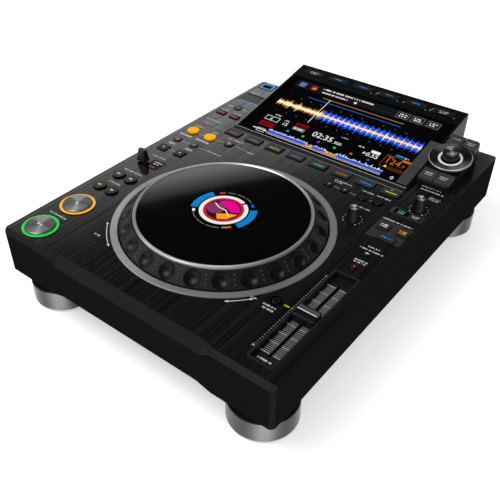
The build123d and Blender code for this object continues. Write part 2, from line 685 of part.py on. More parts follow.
with BuildPart() as display_housing:
    with BuildSketch(Plane.YZ.offset(-SCREEN_W / 2)):
        with BuildLine():
            Polyline(
                (FACE_Y - PLINTH_RUN, DECK_Z), (FACE_Y - PLINTH_RUN, DECK_Z + PLINTH_RISE),
                (FACE_Y - PLINTH_RISE, DECK_Z + PLINTH_RISE), (FACE_Y, DECK_Z + SCREEN_FRONT_RISE),
                (BACK, HEIGHT), (BACK, DECK_Z), close=True,
            )
        make_face()
    extrude(amount=SCREEN_W)
    rear_top = display_housing.edges().filter_by(Axis.X).group_by(Axis.Z)[-1]
    fillet(rear_top, HOUSING_EDGE_R)
    with BuildSketch(Plane.XY.offset(DECK_Z)):
        with Locations((0, TUB_MID_Y)):
            Rectangle(TUB_W, TUB_RUN)
    extrude(amount=-TUB_DROP)
    # selector pod on the right-hand side, with a pedestal for its ring
    pod_front = FACE_Y + POD_FRONT_AT * cos(TILT)
    pod_back = pod_front + POD_RUN * cos(TILT)
    with BuildSketch(Plane.YZ.offset(SCREEN_W / 2)):
        with BuildLine():
            Polyline(
                (pod_front, DECK_Z), (pod_front, face_rise(pod_front, POD_DEPTH)),
                (pod_back, face_rise(pod_back, POD_DEPTH)), (pod_back, DECK_Z), close=True,
            )
        make_face()
    extrude(amount=POD_X + POD_W / 2 - SCREEN_W / 2)
    pod_corners = display_housing.edges().filter_by(Axis.Z).group_by(Axis.X)[-1]
    fillet(pod_corners, POD_CORNER_R)
    with BuildSketch(SCREEN.offset(-POD_DEPTH)):
        with Locations((POD_X, POD_MID_AT)):
            Circle(PEDESTAL_R)
    extrude(amount=POD_DEPTH + RING_LOW)
    # hollow under the display, open to the case below
    tub_front = TUB_MID_Y - TUB_RUN / 2 + TUB_WALL
    tub_back = TUB_MID_Y + TUB_RUN / 2 - TUB_WALL
    hollow_back = BACK - HOUSING_WALL
    with BuildSketch(Plane.YZ.offset(-TUB_W / 2 + TUB_WALL)):
        with BuildLine():
            Polyline(
                (tub_front, DECK_Z - TUB_DROP), (tub_front, face_rise(tub_front, ROOF_DEPTH)),
                (hollow_back, face_rise(hollow_back, ROOF_DEPTH)),
                (hollow_back, DECK_Z + HOUSING_WALL), (tub_back, DECK_Z + HOUSING_WALL),
                (tub_back, DECK_Z - TUB_DROP), close=True,
            )
        make_face()
    extrude(amount=TUB_W - 2 * TUB_WALL, mode=Mode.SUBTRACT)
    # pocket for the glass, and a deeper one for the display module behind it
    with BuildSketch(SCREEN):
        with Locations((0, GLASS_FRONT_RIM + GLASS_RUN / 2)):
            RectangleRounded(SCREEN_W - 2 * GLASS_SIDE_RIM, GLASS_RUN, GLASS_CORNER_R)
    extrude(amount=-GLASS_T, mode=Mode.SUBTRACT)
    with BuildSketch(SCREEN.offset(-GLASS_T)):
        with Locations((0, LCD_MID_AT)):
            Rectangle(LCD_W, LCD_RUN)
    extrude(amount=-LCD_T, mode=Mode.SUBTRACT)
    # windows for the key strip and the channel it lies in
    with BuildSketch(SCREEN):
        with Locations((0, STRIP_AT)):
            with GridLocations(STRIP_PITCH, STRIP_PITCH, STRIP_KEYS, 1):
                RectangleRounded(STRIP_KEY_W + 2 * KEY_GAP, STRIP_KEY_D + 2 * KEY_GAP, RECT_CORNER_R)
    extrude(amount=-STRIP_SKIN, mode=Mode.SUBTRACT)
    with BuildSketch(SCREEN.offset(-STRIP_SKIN)):
        with Locations((0, STRIP_AT)):
            Rectangle(STRIP_BAR_W + 2 * KEY_GAP, STRIP_BAR_D + 2 * KEY_GAP)
    extrude(amount=-(COLLAR_GAP + STRIP_BAR_T + STRIP_ROOM), mode=Mode.SUBTRACT)
    # guide wells of the pod's corner keys, and the selector's shaft bore
    with BuildSketch(SCREEN.offset(-POD_DEPTH)):
        with Locations((POD_X, POD_MID_AT)):
            with GridLocations(POD_KEY_PITCH_X, POD_KEY_PITCH_Y, 2, 2):
                Rectangle(POD_STEM + 2 * KEY_GAP, POD_STEM + 2 * KEY_GAP)
    extrude(amount=-POD_WELL_DEPTH, mode=Mode.SUBTRACT)
    with BuildSketch(SCREEN.offset(RING_LOW)):
        with Locations((POD_X, POD_MID_AT)):
            Circle(SHAFT_R + SHAFT_GAP)
    extrude(amount=-RING_LOW - SHAFT_DROP, mode=Mode.SUBTRACT)
display_housing.part.label = "display_housing"
export_step(display_housing.part, "parts/display_housing.step")

with BuildPart() as touch_screen:
    with BuildSketch(SCREEN):
        with Locations((0, GLASS_FRONT_RIM + GLASS_RUN / 2)):
            RectangleRounded(SCREEN_W - 2 * GLASS_SIDE_RIM, GLASS_RUN, GLASS_CORNER_R)
    extrude(amount=-GLASS_T)
    with BuildSketch(SCREEN.offset(-GLASS_T)):
        with Locations((0, LCD_MID_AT)):
            Rectangle(LCD_W - 2 * SOCKET_GAP, LCD_RUN - 2 * SOCKET_GAP)
    extrude(amount=-LCD_T)
touch_screen.part.label = "touch_screen"
export_step(touch_screen.part, "parts/touch_screen.step")

with BuildPart() as display_keys:
    with BuildSketch(SCREEN.offset(-STRIP_SKIN - COLLAR_GAP)):
        with Locations((0, STRIP_AT)):
            Rectangle(STRIP_BAR_W, STRIP_BAR_D)
    extrude(amount=-STRIP_BAR_T)
    with BuildSketch(SCREEN.offset(-STRIP_SKIN - COLLAR_GAP)):
        with Locations((0, STRIP_AT)):
            with GridLocations(STRIP_PITCH, STRIP_PITCH, STRIP_KEYS, 1):
                RectangleRounded(STRIP_KEY_W, STRIP_KEY_D, RECT_CORNER_R)
    extrude(amount=STRIP_SKIN + COLLAR_GAP + STRIP_PROUD)
display_keys.part.label = "display_keys"
export_step(display_keys.part, "parts/display_keys.step")

# ------------------------------------------------------------------ selector: ring, knob and corner keys
SELECTOR_SECTION = Plane(
    origin=SCREEN.from_local_coords((POD_X, POD_MID_AT, 0)),
    x_dir=(1, 0, 0),
    z_dir=(0, -cos(TILT), -sin(TILT)),
)
SELECTOR_AXIS = Axis(SELECTOR_SECTION.origin, SELECTOR_SECTION.y_dir)

with BuildPart() as selector_ring:
    with BuildSketch(SELECTOR_SECTION):
        with BuildLine():
            Polyline(
                (RING_BORE_R, RING_LOW), (RING_BORE_R, RING_BORE_RISE), (RING_FLAT_R, RING_BORE_RISE),
                (RING_R - RING_EDGE, RING_RIM_RISE), (RING_R, RING_RIM_RISE - RING_EDGE),
                (RING_R, RING_RIM_RISE - 3 * RING_EDGE), (PEDESTAL_R, RING_LOW), close=True,
            )
        make_face()
    revolve(axis=SELECTOR_AXIS)
selector_ring.part.label = "selector_ring"
export_step(selector_ring.part, "parts/selector_ring.step")

with BuildPart() as selector_knob:
    with BuildSketch(SCREEN.offset(SELECTOR_LOW)):
        with Locations((POD_X, POD_MID_AT)):
            Circle(SELECTOR_R)
            with PolarLocations(SELECTOR_R, SELECTOR_FLUTES):
                Circle(SELECTOR_FLUTE_R, mode=Mode.SUBTRACT)
    extrude(amount=SELECTOR_HIGH - SELECTOR_LOW - SELECTOR_CAP_T)
    with BuildSketch(SCREEN.offset(SELECTOR_HIGH - SELECTOR_CAP_T)):
        with Locations((POD_X, POD_MID_AT)):
            Circle(SELECTOR_R - SELECTOR_FLUTE_R)
    extrude(amount=SELECTOR_CAP_T)
    with BuildSketch(SCREEN.offset(SELECTOR_LOW)):
        with Locations((POD_X, POD_MID_AT)):
            Circle(SHAFT_R)
    extrude(amount=-(SELECTOR_LOW + SHAFT_DROP - RUN_GAP))
selector_knob.part.label = "selector_knob"
export_step(selector_knob.part, "parts/selector_knob.step")

# name: side across the pod, side along it
POD_KEYS = {
    "back_key": (-1, 1), "tag_track_key": (1, 1),
    "track_filter_key": (-1, -1), "shortcut_key": (1, -1),
}
for name, (across, along) in POD_KEYS.items():
    key_x = POD_X + across * POD_KEY_PITCH_X / 2
    key_at = POD_MID_AT + along * POD_KEY_PITCH_Y / 2
    with BuildPart() as pod_key:
        with BuildSketch(SCREEN.offset(POD_KEY_LOW)):
            with Locations((key_x, key_at)):
                Rectangle(POD_KEY_W, POD_KEY_RUN)
        extrude(amount=POD_KEY_HIGH - POD_KEY_LOW)
        if across > 0:
            corners = pod_key.edges().filter_by(SELECTOR_AXIS).sort_by_distance(SELECTOR_SECTION.origin)
            fillet(corners[-1], POD_CORNER_R)
        fillet(pod_key.faces().sort_by(SELECTOR_AXIS)[-1].edges(), KEY_EDGE_R)
        with BuildSketch(SCREEN.offset(POD_KEY_LOW)):
            with Locations((key_x, key_at)):
                Rectangle(POD_STEM, POD_STEM)
        extrude(amount=-POD_STEM_LENGTH)
    pod_key.part.label = name
    export_step(pod_key.part, f"parts/{name}.step")

# ------------------------------------------------------------------ jog dial
JOG_SECTION = Plane(origin=(0, JOG_Y, DECK_Z), x_dir=(1, 0, 0), z_dir=(0, -1, 0))
JOG_AXIS = Axis(JOG_SECTION.origin, JOG_SECTION.y_dir)
SKIRT_R = SURROUND_INNER_R + SURROUND_WALL
BEARING_LOW = -TRAY_DEPTH + RUN_GAP
PLATE_SEAT = TOP_PLATE_RISE - TOP_PLATE_T
BEVEL_SLOPE = (BEVEL_RISE - PLATTER_LIP) / (PLATTER_R - BEVEL_TOP_R)
BEVEL_ANGLE = atan2(BEVEL_SLOPE, 1)

with BuildPart() as jog_surround_ring:
    with BuildSketch(JOG_SECTION):
        with BuildLine():
            Polyline(
                (SURROUND_INNER_R, -SURROUND_SKIRT), (SURROUND_INNER_R, SURROUND_RISE - SURROUND_EDGE),
                (SURROUND_INNER_R + SURROUND_EDGE, SURROUND_RISE), (SURROUND_R - SURROUND_EDGE, SURROUND_RISE),
                (SURROUND_R, SURROUND_RISE - SURROUND_EDGE), (SURROUND_R, 0),
                (SKIRT_R, 0), (SKIRT_R, -SURROUND_SKIRT), close=True,
            )
        make_face()
    revolve(axis=JOG_AXIS)
jog_surround_ring.part.label = "jog_surround_ring"
export_step(jog_surround_ring.part, "parts/jog_surround_ring.step")

with BuildPart() as jog_base:
    with BuildSketch(JOG_SECTION):
        with BuildLine():
            tray_inner_r = SKIRT_R + RUN_GAP
            tray_outer_r = tray_inner_r + TRAY_T
            tray_low = -TRAY_DEPTH - TRAY_T
            Polyline(
                (DRUM_CABLE_R, tray_low), (tray_outer_r, tray_low),
                (tray_outer_r, -PANEL_T - TRAY_T), (SKIRT_R + TRAY_FLANGE, -PANEL_T - TRAY_T),
                (SKIRT_R + TRAY_FLANGE, -PANEL_T), (tray_inner_r, -PANEL_T),
                (tray_inner_r, -TRAY_DEPTH), (DRUM_R, -TRAY_DEPTH), (DRUM_R, DRUM_TOP),
                (DRUM_BORE_R, DRUM_TOP), (DRUM_BORE_R, -TRAY_DEPTH), (DRUM_CABLE_R, -TRAY_DEPTH), close=True,
            )
        make_face()
    revolve(axis=JOG_AXIS)
jog_base.part.label = "jog_base"
export_step(jog_base.part, "parts/jog_base.step")

with BuildPart() as platter:
    with BuildSketch(JOG_SECTION):
        with BuildLine():
            web_low = PLATE_SEAT - WEB_T
            wall_drop = RIM_WALL / cos(BEVEL_ANGLE)
            rim_inner_r = PLATTER_R - RIM_WALL
            groove_r = RIM_R + GROOVE_W
            Polyline(
                (HUB_BORE_R, BEARING_LOW), (HUB_R, BEARING_LOW), (HUB_R, web_low),
                (PLATTER_R - (web_low - PLATTER_LIP + wall_drop) / BEVEL_SLOPE, web_low),
                (rim_inner_r, PLATTER_LIP + RIM_WALL * BEVEL_SLOPE - wall_drop),
                (rim_inner_r, -PLATTER_LOW), (PLATTER_R, -PLATTER_LOW), (PLATTER_R, PLATTER_LIP),
                (BEVEL_TOP_R, BEVEL_RISE), (groove_r, BEVEL_RISE), (groove_r, PLATE_SEAT - GROOVE_DEPTH),
                (RIM_R, PLATE_SEAT - GROOVE_DEPTH), (RIM_R, PLATE_SEAT), (HUB_BORE_R, PLATE_SEAT), close=True,
            )
        make_face()
    revolve(axis=JOG_AXIS)
    # finger dimples around the bevel
    ball_lift = (DIMPLE_BALL_R ** 2 - DIMPLE_R ** 2) ** 0.5
    ball_r = DIMPLE_AT_R + ball_lift * sin(BEVEL_ANGLE)
    ball_rise = PLATTER_LIP + (PLATTER_R - DIMPLE_AT_R) * BEVEL_SLOPE + ball_lift * cos(BEVEL_ANGLE)
    with Locations((0, JOG_Y, DECK_Z + ball_rise)):
        with PolarLocations(ball_r, DIMPLES, start_angle=180 / DIMPLES):
            Sphere(DIMPLE_BALL_R, mode=Mode.SUBTRACT)

with BuildPart() as chrome_hoop:
    with BuildSketch(JOG_SECTION):
        with BuildLine():
            Polyline(
                (RIM_R - RIM_T, PLATE_SEAT), (RIM_R, PLATE_SEAT), (RIM_R, RIM_RISE - RIM_EDGE),
                (RIM_R - RIM_EDGE, RIM_RISE), (RIM_R - RIM_T + RIM_EDGE, RIM_RISE),
                (RIM_R - RIM_T, RIM_RISE - RIM_EDGE), close=True,
            )
        make_face()
    revolve(axis=JOG_AXIS)
jog_platter = Compound(label="jog_platter", children=[platter.part, chrome_hoop.part])
export_step(jog_platter, "parts/jog_platter.step")

with BuildPart() as jog_top_plate:
    with BuildSketch(Plane.XY.offset(DECK_Z + PLATE_SEAT)):
        with Locations(JOG_CENTRE):
            Circle(RIM_R - RIM_T - RUN_GAP)
            Circle(DISPLAY_LENS_R + LENS_GAP, mode=Mode.SUBTRACT)
    extrude(amount=TOP_PLATE_T)
jog_top_plate.part.label = "jog_top_plate"
export_step(jog_top_plate.part, "parts/jog_top_plate.step")

with BuildPart() as jog_display:
    with BuildSketch(Plane.XY.offset(DECK_Z + DRUM_TOP)):
        with Locations(JOG_CENTRE):
            Circle(DISPLAY_LENS_R)
    extrude(amount=TOP_PLATE_RISE + LENS_PROUD - DRUM_TOP)
    with BuildSketch(Plane.XY.offset(DECK_Z + DRUM_TOP)):
        with Locations(JOG_CENTRE):
            Circle(DISPLAY_MODULE_R)
    extrude(amount=-DISPLAY_MODULE_DEPTH)
jog_display.part.label = "jog_display"
export_step(jog_display.part, "parts/jog_display.step")

# ------------------------------------------------------------------ tempo fader
WELL_FLOOR_TOP = DECK_Z - WELL_DEPTH
WELL_FLOOR_LOW = WELL_FLOOR_TOP - WELL_FLOOR_T
CAP_LOW = WELL_FLOOR_TOP + CAP_FLOAT

with BuildPart() as fader_unit:
    with BuildSketch(Plane.XY.offset(WELL_FLOOR_LOW)):
        with Locations((FADER_X, FADER_Y)):
            RectangleRounded(WELL_W + 2 * WELL_WALL, WELL_RUN + 2 * WELL_WALL, WELL_CORNER_R)
    extrude(amount=DECK_Z - WELL_FLOOR_LOW)
    with BuildSketch(Plane.XY.offset(DECK_Z)):
        with Locations((FADER_X, FADER_Y)):
            RectangleRounded(WELL_W + 2 * WELL_RIM, WELL_RUN + 2 * WELL_RIM, WELL_CORNER_R)
    extrude(amount=WELL_RIM_RISE)
    with BuildSketch(Plane.XY.offset(WELL_FLOOR_TOP)):
        with Locations((FADER_X, FADER_Y)):
            RectangleRounded(WELL_W, WELL_RUN, WELL_CORNER_R)
    extrude(amount=WELL_DEPTH + WELL_RIM_RISE, mode=Mode.SUBTRACT)
    # slide potentiometer under the well, and the slot for its blade
    pot_run = FADER_TRAVEL + CARRIAGE_RUN + 2 * POT_MARGIN
    with BuildSketch(Plane.XY.offset(WELL_FLOOR_LOW)):
        with Locations((FADER_X, FADER_Y)):
            Rectangle(POT_W, pot_run)
    extrude(amount=-POT_H)
    with BuildSketch(Plane.XY.offset(WELL_FLOOR_LOW)):
        with Locations((FADER_X, FADER_Y)):
            Rectangle(POT_W - 2 * POT_WALL, pot_run - 2 * POT_WALL)
    extrude(amount=POT_WALL - POT_H, mode=Mode.SUBTRACT)
    with BuildSketch(Plane.XY.offset(WELL_FLOOR_LOW)):
        with Locations((FADER_X, FADER_Y)):
            Rectangle(FADER_SLOT_W, FADER_TRAVEL + BLADE_RUN + 2 * POT_WALL)
    extrude(amount=WELL_FLOOR_T, mode=Mode.SUBTRACT)
fader_unit.part.label = "fader_unit"
export_step(fader_unit.part, "parts/fader_unit.step")

with BuildPart() as tempo_slider:
    with BuildSketch(Plane.YZ.offset(FADER_X - CAP_W / 2)):
        with BuildLine():
            cap_front = FADER_Y - CAP_RUN / 2
            cap_back = FADER_Y + CAP_RUN / 2
            Polyline(
                (cap_back - CAP_RIDGE, DECK_Z + CAP_HIGH), (cap_back, DECK_Z + CAP_SHOULDER),
                (cap_back, CAP_LOW), (cap_front, CAP_LOW), (cap_front, DECK_Z + CAP_SHOULDER),
            )
            ThreePointArc(
                (cap_front, DECK_Z + CAP_SHOULDER), (FADER_Y - CAP_RIDGE / 2, DECK_Z + CAP_DISH),
                (cap_back - CAP_RIDGE, DECK_Z + CAP_HIGH),
            )
        make_face()
    extrude(amount=CAP_W)
    with BuildSketch(Plane.XY.offset(CAP_LOW)):
        with Locations((FADER_X, FADER_Y)):
            Rectangle(BLADE_W, BLADE_RUN)
    extrude(amount=-(CAP_FLOAT + WELL_FLOOR_T + RUN_GAP + CARRIAGE_T))
    with BuildSketch(Plane.XY.offset(WELL_FLOOR_LOW - RUN_GAP)):
        with Locations((FADER_X, FADER_Y)):
            Rectangle(CARRIAGE_W, CARRIAGE_RUN)
    extrude(amount=-CARRIAGE_T)
tempo_slider.part.label = "tempo_slider"
export_step(tempo_slider.part, "parts/tempo_slider.step")

# ------------------------------------------------------------------ push keys
KEY_LOW = PANEL_LOW - COLLAR_GAP - COLLAR_T


def round_key(x, y, cap_r, proud, edge):
    """Round cap that rises through the panel from a collar below it."""
    with BuildPart() as key:
        with BuildSketch(Plane.XY.offset(KEY_LOW)):
            with Locations((x, y)):
                Circle(cap_r + COLLAR_LIP)
        extrude(amount=COLLAR_T)
        with BuildSketch(Plane.XY.offset(KEY_LOW)):
            with Locations((x, y)):
                Circle(cap_r)
        extrude(amount=DECK_Z + proud - KEY_LOW)
        fillet(key.edges().group_by(Axis.Z)[-1], edge)
    return key.part


def rect_key(x, y, key_w, key_d, proud, edge):
    """Oblong cap that rises through the panel from a collar below it."""
    with BuildPart() as key:
        with BuildSketch(Plane.XY.offset(KEY_LOW)):
            with Locations((x, y)):
                Rectangle(key_w + 2 * COLLAR_LIP, key_d + 2 * COLLAR_LIP)
        extrude(amount=COLLAR_T)
        with BuildSketch(Plane.XY.offset(KEY_LOW)):
            with Locations((x, y)):
                RectangleRounded(key_w, key_d, RECT_CORNER_R)
        extrude(amount=DECK_Z + proud - KEY_LOW)
        fillet(key.edges().group_by(Axis.Z)[-1], edge)
    return key.part


for name, (x, y) in PLAY_CUE.items():
    key = round_key(x, y, PLAY_CAP_R, PLAY_PROUD, 2 * KEY_EDGE_R)
    key.label = name
    export_step(key, f"parts/{name}.step")

for name, (x, y, cap_r, proud) in ROUND_KEYS.items():
    key = round_key(x, y, cap_r, proud, KEY_EDGE_R)
    key.label = name
    export_step(key, f"parts/{name}.step")

for name, (x, y, key_w, key_d, proud) in RECT_KEYS.items():
    key = rect_key(x, y, key_w, key_d, proud, min(KEY_EDGE_R, proud / 2))
    key.label = name
    export_step(key, f"parts/{name}.step")

# ------------------------------------------------------------------ rocker keys
for name, (x, y) in ROCKERS.items():
    with BuildPart() as rocker:
        with BuildSketch(Plane.XY.offset(DECK_Z - ROCKER_LOW)):
            with Locations((x - ROCKER_SPREAD / 2, y), (x + ROCKER_SPREAD / 2, y)):
                Circle(ROCKER_CAP_R)
        extrude(amount=ROCKER_LOW + ROCKER_PROUD)
        fillet(rocker.edges().group_by(Axis.Z)[-1], KEY_EDGE_R)
        with BuildSketch(Plane.XY.offset(DECK_Z - ROCKER_LOW)):
            with Locations((x, y)):
                Rectangle(ROCKER_SPREAD, ROCKER_BRIDGE)
        extrude(amount=ROCKER_LOW - KEY_EDGE_R)
        with BuildSketch(Plane.XZ.offset(-y)):
            with Locations((x, DECK_Z - PIVOT_BELOW)):
                Circle(TRUNNION_R)
        extrude(amount=ROCKER_BRIDGE / 2 + ROCKER_GAP + TRUNNION_REACH, both=True)
    rocker.part.label = name
    export_step(rocker.part, f"parts/{name}.step")

# ------------------------------------------------------------------ knobs and lever
for name, (x, y) in KNOBS.items():
    with BuildPart() as knob:
        for rise, radius in ((KNOB_LIFT, KNOB_BASE_R), (KNOB_LIFT + KNOB_H, KNOB_TOP_R)):
            with BuildSketch(Plane.XY.offset(DECK_Z + rise)):
                with Locations((x, y)):
                    Circle(radius)
                    with PolarLocations(radius, KNOB_FLUTES):
                        Circle(KNOB_FLUTE_R, mode=Mode.SUBTRACT)
        loft(ruled=True)
        with BuildSketch(Plane.XY.offset(DECK_Z + KNOB_LIFT)):
            with Locations((x, y)):
                Circle(KNOB_BASE_R)
        extrude(amount=KNOB_SKIRT_H)
        with BuildSketch(Plane.XY.offset(DECK_Z + KNOB_LIFT)):
            with Locations((x, y)):
                Circle(SHAFT_R)
        extrude(amount=-KNOB_LIFT - SHAFT_DROP)
    knob.part.label = name
    export_step(knob.part, f"parts/{name}.step")

with BuildPart() as direction_lever:
    with BuildSketch(Plane.XY.offset(DECK_Z + LEVER_LOW)):
        with Locations((LEVER_X, LEVER_Y)):
            RectangleRounded(LEVER_BASE_W, LEVER_BASE_D, RECT_CORNER_R)
    with BuildSketch(Plane.XY.offset(DECK_Z + LEVER_HIGH)):
        with Locations((LEVER_X, LEVER_Y)):
            RectangleRounded(LEVER_TOP_W, LEVER_TOP_D, RECT_CORNER_R)
    loft()
    with BuildSketch(Plane.XY.offset(DECK_Z + LEVER_LOW)):
        with Locations((LEVER_X, LEVER_Y)):
            Rectangle(LEVER_STEM, LEVER_STEM)
    extrude(amount=-LEVER_LOW - LEVER_PIVOT_BELOW)
    with BuildSketch(Plane.YZ.offset(LEVER_X)):
        with Locations((LEVER_Y, DECK_Z - LEVER_PIVOT_BELOW)):
            Circle(LEVER_HUB_R)
    extrude(amount=LEVER_STEM / 2, both=True)
    with BuildSketch(Plane.YZ.offset(LEVER_X)):
        with Locations((LEVER_Y, DECK_Z - LEVER_PIVOT_BELOW)):
            Circle(LEVER_PIN_R)
    extrude(amount=LEVER_STEM / 2 + KEY_GAP + EAR_T, both=True)
direction_lever.part.label = "direction_lever"
export_step(direction_lever.part, "parts/direction_lever.step")

# ------------------------------------------------------------------ card door and sockets
with BuildPart() as sd_door:
    door_front = DOOR_Y - DOOR_D / 2
    with BuildSketch(Plane.XY.offset(DECK_Z)):
        with Locations((DOOR_X, (door_front + DOOR_PIVOT_Y) / 2)):
            Rectangle(DOOR_W, DOOR_PIVOT_Y - door_front)
    extrude(amount=-DOOR_T)
    with BuildSketch(Plane.YZ.offset(DOOR_X)):
        with Locations((DOOR_PIVOT_Y, DECK_Z - PIVOT_BELOW)):
            Circle(DOOR_BARREL_R)
    extrude(amount=DOOR_W / 2, both=True)
    with BuildSketch(Plane.YZ.offset(DOOR_X)):
        with Locations((DOOR_PIVOT_Y, DECK_Z - PIVOT_BELOW)):
            Circle(DOOR_PIN_R)
    extrude(amount=DOOR_W / 2 + DOOR_GAP + TRUNNION_REACH - KEY_GAP, both=True)
sd_door.part.label = "sd_door"
export_step(sd_door.part, "parts/sd_door.step")

REAR = Plane.XZ.offset(-REAR_WALL)

with BuildPart() as card_reader:
    with BuildSketch(Plane.XY.offset(PANEL_LOW)):
        with Locations((DOOR_X, DOOR_Y)):
            Rectangle(DOOR_W + 2 * CARD_UNIT_LIP, DOOR_D + 2 * CARD_UNIT_LIP)
            Rectangle(CARD_SLOT_W, CARD_SLOT_T, mode=Mode.SUBTRACT)
    extrude(amount=-CARD_UNIT_H)
    with BuildSketch(Plane.XY.offset(PANEL_LOW - CARD_UNIT_H)):
        with Locations((DOOR_X, DOOR_Y)):
            Rectangle(CARD_SLOT_W, CARD_SLOT_T)
    extrude(amount=CARD_STOP)

with BuildPart() as usb_port:
    with BuildSketch(Plane.XY.offset(PANEL_LOW)):
        with Locations((USB_X, USB_Y)):
            RectangleRounded(USB_FRAME_W, USB_FRAME_D, RECT_CORNER_R)
    extrude(amount=PANEL_T + PLATE_RISE)
    with BuildSketch(Plane.XY.offset(PANEL_LOW)):
        with Locations((USB_X, USB_Y)):
            Rectangle(USB_FRAME_W + 2 * COLLAR_LIP, USB_WELL_D)
    extrude(amount=-COLLAR_T)
    with BuildSketch(Plane.XY.offset(PANEL_LOW)):
        with Locations((USB_X, USB_Y)):
            Rectangle(USB_WELL_W + 2 * COLLAR_T, USB_WELL_D)
    extrude(amount=PANEL_T - USB_DEPTH)
    with BuildSketch(Plane.XY.offset(DECK_Z + PLATE_RISE)):
        with Locations((USB_X, USB_Y)):
            Rectangle(USB_WELL_W, USB_WELL_D)
    extrude(amount=-USB_WELL_DEPTH, mode=Mode.SUBTRACT)
    with BuildSketch(Plane.XY.offset(DECK_Z)):
        with Locations((USB_X, USB_Y)):
            Rectangle(USB_SLOT_W, USB_SLOT_T)
    extrude(amount=COLLAR_T - USB_DEPTH, mode=Mode.SUBTRACT)
    with BuildSketch(Plane.XY.offset(DECK_Z - USB_DEPTH)):
        with Locations((USB_X, USB_Y + USB_SLOT_T / 2 - USB_TONGUE_T)):
            Rectangle(USB_SLOT_W - 2 * KEY_GAP, USB_TONGUE_T)
    extrude(amount=USB_DEPTH - USB_WELL_DEPTH)

with BuildPart() as mains_inlet:
    with BuildSketch(REAR):
        with Locations((INLET_X, SOCKET_Z)):
            Rectangle(INLET_W, INLET_H)
    extrude(amount=INLET_DEPTH)
    with BuildSketch(REAR):
        with Locations((INLET_X, SOCKET_Z)):
            Rectangle(INLET_W + 2 * INLET_FLANGE, INLET_H + 2 * INLET_FLANGE)
    extrude(amount=-COLLAR_T)
    with BuildSketch(Plane.XZ.offset(-REAR_WALL - COLLAR_T)):
        with Locations((INLET_X, SOCKET_Z)):
            Rectangle(INLET_CAVITY_W, INLET_CAVITY_H)
    extrude(amount=INLET_CAVITY_DEPTH + COLLAR_T, mode=Mode.SUBTRACT)
    with BuildSketch(Plane.XZ.offset(-REAR_WALL + INLET_CAVITY_DEPTH)):
        with Locations((INLET_X - PIN_SPREAD, SOCKET_Z - PIN_OFFSET), (INLET_X + PIN_SPREAD, SOCKET_Z - PIN_OFFSET),
                       (INLET_X, SOCKET_Z + PIN_OFFSET)):
            Rectangle(PIN_W, PIN_H)
    extrude(amount=-PIN_LENGTH)

with BuildPart() as network_port:
    with BuildSketch(REAR):
        with Locations((LAN_X, SOCKET_Z)):
            Rectangle(LAN_W, LAN_H)
    extrude(amount=LAN_DEPTH)
    with BuildSketch(REAR):
        with Locations((LAN_X, SOCKET_Z)):
            Rectangle(LAN_CAVITY_W, LAN_CAVITY_H)
        with Locations((LAN_X, SOCKET_Z - LAN_CAVITY_H / 2)):
            Rectangle(LAN_CLIP_W, LAN_CLIP_H)
    extrude(amount=LAN_CAVITY_DEPTH, mode=Mode.SUBTRACT)

with BuildPart() as usb_b_port:
    with BuildSketch(REAR):
        with Locations((USB_B_X, USB_B_Z)):
            Rectangle(USB_B_W, USB_B_W)
            Rectangle(USB_B_CAVITY, USB_B_CAVITY, mode=Mode.SUBTRACT)
            Rectangle(USB_B_TONGUE, USB_B_TONGUE)
    extrude(amount=LAN_CAVITY_DEPTH)
    with BuildSketch(Plane.XZ.offset(-REAR_WALL + LAN_CAVITY_DEPTH)):
        with Locations((USB_B_X, USB_B_Z)):
            Rectangle(USB_B_W, USB_B_W)
    extrude(amount=LAN_DEPTH - LAN_CAVITY_DEPTH)

with BuildPart() as phono_jacks:
    with BuildSketch(Plane.XZ.offset(-REAR_WALL + WALL)):
        with Locations(*RCA_PLACES):
            Rectangle(RCA_BASE, RCA_BASE)
    extrude(amount=RCA_BASE_DEPTH)
    with BuildSketch(Plane.XZ.offset(-REAR_WALL + WALL)):
        with Locations(*RCA_PLACES):
            Circle(RCA_NECK_R)
    extrude(amount=-WALL)
    with BuildSketch(REAR):
        with Locations(*RCA_PLACES):
            Circle(RCA_R)
    extrude(amount=-RCA_LENGTH)
    with BuildSketch(Plane.XZ.offset(-REAR_WALL - RCA_LENGTH)):
        with Locations(*RCA_PLACES):
            Circle(RCA_BORE_R)
    extrude(amount=RCA_LENGTH, mode=Mode.SUBTRACT)

with BuildPart() as switch_box:
    with BuildSketch(Plane.XZ.offset(-REAR_WALL + WALL)):
        with Locations((SWITCH_X, SOCKET_Z)):
            Rectangle(SWITCH_W + 4 * TRUNNION_REACH, SWITCH_H + 2 * TRUNNION_REACH)
            Rectangle(SWITCH_W + 2 * SWITCH_GAP, SWITCH_H + 2 * SWITCH_GAP, mode=Mode.SUBTRACT)
    extrude(amount=SWITCH_BOX_DEPTH)
    with BuildSketch(Plane.XZ.offset(-REAR_WALL + WALL + SWITCH_BOX_DEPTH)):
        with Locations((SWITCH_X, SOCKET_Z)):
            Rectangle(SWITCH_W + 4 * TRUNNION_REACH, SWITCH_H + 2 * TRUNNION_REACH)
    extrude(amount=TRUNNION_REACH)

panel_sockets = Compound(
    label="panel_sockets",
    children=[
        card_reader.part, usb_port.part, mains_inlet.part, network_port.part,
        usb_b_port.part, phono_jacks.part, switch_box.part,
    ],
)
export_step(panel_sockets, "parts/panel_sockets.step")

# the rocker is drawn in its off position, lower half pressed
SWITCH_PIVOT = (SWITCH_X, REAR_WALL - WALL / 2, SOCKET_Z)
SWITCH_FACE = Plane(origin=SWITCH_PIVOT, x_dir=(-1, 0, 0), z_dir=(0, 1, 0)).rotated((SWITCH_THROW / 2, 0, 0))

